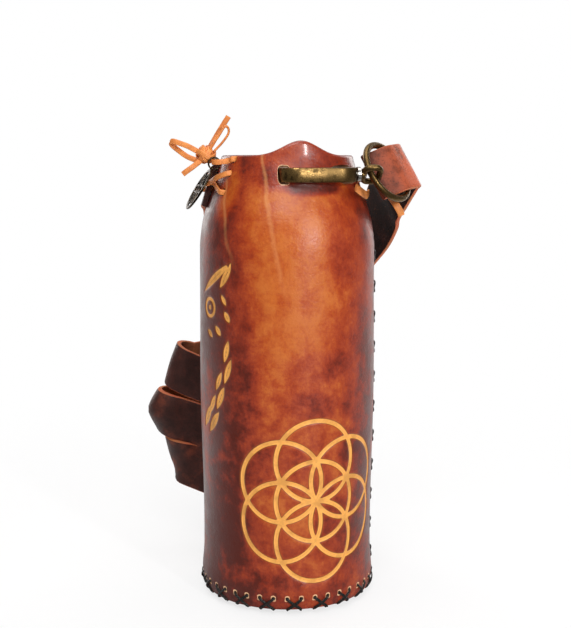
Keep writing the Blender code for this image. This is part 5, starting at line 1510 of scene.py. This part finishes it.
def area_light(name, place, target, size, power, tint):
    data = bpy.data.lights.new(name, "AREA")
    data.shape = "RECTANGLE"
    data.size, data.size_y = size
    data.energy = power
    data.color = tint
    light = bpy.data.objects.new(name, data)
    light.location = place
    light.rotation_euler = (Vector(target) - Vector(place)).to_track_quat("-Z", "Y").to_euler()
    bpy.context.scene.collection.objects.link(light)


def studio_paper():
    """White paper round the object. It glows white to the camera away from the object, where a photo of
    a product on white has no grey, and is darker in reflections towards the viewer."""
    look, tree, where = new_look("studio_paper")
    dim = add(tree, "mirrored") * add(tree, "span", add(tree, "y", where), 0.10, -0.10)
    finish(look, add(tree, "blend", dim, PAPER, PAPER_IN_MIRRORS), 0.9)
    share = add(tree, "seen") * add(tree, "span", add(tree, "far", where), 0.12, 0.45, 0.75, 1.0)
    lit = Wire(tree, tree.nodes["Principled BSDF"].outputs["BSDF"])
    layered = add(tree, "layered", share, lit, add(tree, "glow", WHITE, 1.0))
    feed(layered, tree.nodes["Material Output"].inputs["Surface"])
    return look


def make_stage():
    """The photo's camera, a floor that bends up into a back wall, a white world and six lights."""
    scene = bpy.context.scene
    data = bpy.data.cameras.new("photo_camera")
    data.sensor_fit = "VERTICAL"
    data.sensor_height = 36.0
    data.lens = CAMERA_LENS
    camera = bpy.data.objects.new("photo_camera", data)
    camera.location = CAMERA_PLACE
    camera.rotation_euler = (math.radians(90 - CAMERA_DOWN), 0, 0)
    scene.collection.objects.link(camera)
    scene.camera = camera
    scene.view_settings.view_transform = "Standard"

    angle = np.linspace(-math.pi / 2, 0, 14)
    y = np.concatenate([[FLOOR_FRONT], FLOOR_BACK - FLOOR_BEND + FLOOR_BEND * np.cos(angle), [FLOOR_BACK]])
    z = np.concatenate([[0.0], FLOOR_BEND + FLOOR_BEND * np.sin(angle), [FLOOR_RISE]])
    x = np.array((-FLOOR_HALF_WIDTH, FLOOR_HALF_WIDTH))
    grid = np.stack(np.broadcast_arrays(x[None], y[:, None], z[:, None]), -1)
    index = np.arange(grid.size // 3).reshape(len(y), 2)
    faces = np.stack([index[:-1, 0], index[:-1, 1], index[1:, 1], index[1:, 0]], 1).tolist()
    floor = mesh_object("studio_floor", grid.reshape(-1, 3), faces, [studio_paper()])

    world = bpy.data.worlds.new("studio")
    world.use_nodes = True
    tree = world.node_tree
    ground = tree.nodes["Background"]
    feed(WHITE, ground.inputs["Color"])
    feed(add(tree, "larger", add(tree, "seen"), WORLD_STRENGTH), ground.inputs["Strength"])
    scene.world = world
    for row in LIGHTS:
        area_light(*row)


# Operators


def operator(idname, label, words, work):
    """An operator class that runs one of the makers above."""

    def execute(self, context):
        work()
        return {"FINISHED"}

    return type("CASE_OT_" + idname, (bpy.types.Operator,), {
        "bl_idname": "case." + idname, "bl_label": label, "bl_options": {"REGISTER", "UNDO"},
        "__doc__": words, "execute": execute,
    })


OPERATORS = [
    operator("stage", "Stage", "Camera, lights and floor", make_stage),
    operator("wall", "Leather Wall", "Moulded and carved leather tube", make_wall),
    operator("foot", "Foot", "Leather disc under the case", make_foot),
    operator("foot_thread", "Foot Thread", "Crossed stitches round the foot", make_foot_thread),
    operator("seam_thread", "Seam Thread", "Crossed stitches up the seam", make_seam_thread),
    operator("hook", "Snap Hook", "Brass bar of the snap hook", make_hook),
    operator("eye", "Swivel Eye", "Brass eye that the ring hangs in", make_eye),
    operator("ring", "O-Ring", "Brass ring between swivel and strap", make_ring),
    operator("strap", "Shoulder Strap", "Leather strap, folded, wound and laced", make_strap),
    operator("bundle_tie", "Bundle Tie", "Lace round the wound strap", make_bundle_tie),
    operator("end_laces", "End Laces", "Laces that hold the strap's end", make_end_laces),
    operator("lace_tags", "Lace Tags", "Two short loose ends of lace", make_lace_tags),
    operator("bow", "Bow", "Bow of tan lace", make_bow),
    operator("charm", "Charm", "Openwork charm on its jump ring", make_charm),
    operator("fittings", "Small Fittings", "Metal of the gate, pin, spring, post and collar",
             keep_cad_fittings),
]


class CASE_PT_panel(bpy.types.Panel):
    """Lists the pieces and their sizes"""

    bl_idname = "CASE_PT_panel"
    bl_label = "Bottle Case"
    bl_space_type = "VIEW_3D"
    bl_region_type = "UI"
    bl_category = "Bottle Case"

    def draw(self, context):
        for entry in OPERATORS:
            self.layout.operator(entry.bl_idname)
        for name in GROUPS:
            group = getattr(context.scene, name)
            box = self.layout.box()
            for key in group.__annotations__:
                box.prop(group, key)


GROUPS = {
    "case_sizes": CaseSizes, "hook_sizes": HookSizes, "strap_sizes": StrapSizes, "case_colours": CaseColours,
}


def register():
    for entry in (*GROUPS.values(), *OPERATORS, CASE_PT_panel):
        bpy.utils.register_class(entry)
    for name, group in GROUPS.items():
        setattr(bpy.types.Scene, name, PointerProperty(type=group))


def unregister():
    for name in GROUPS:
        delattr(bpy.types.Scene, name)
    for entry in reversed((*GROUPS.values(), *OPERATORS, CASE_PT_panel)):
        bpy.utils.unregister_class(entry)


def main():
    register()
    for entry in OPERATORS:
        getattr(bpy.ops.case, entry.bl_idname.partition(".")[2])()


if __name__ == "__main__":
    main()
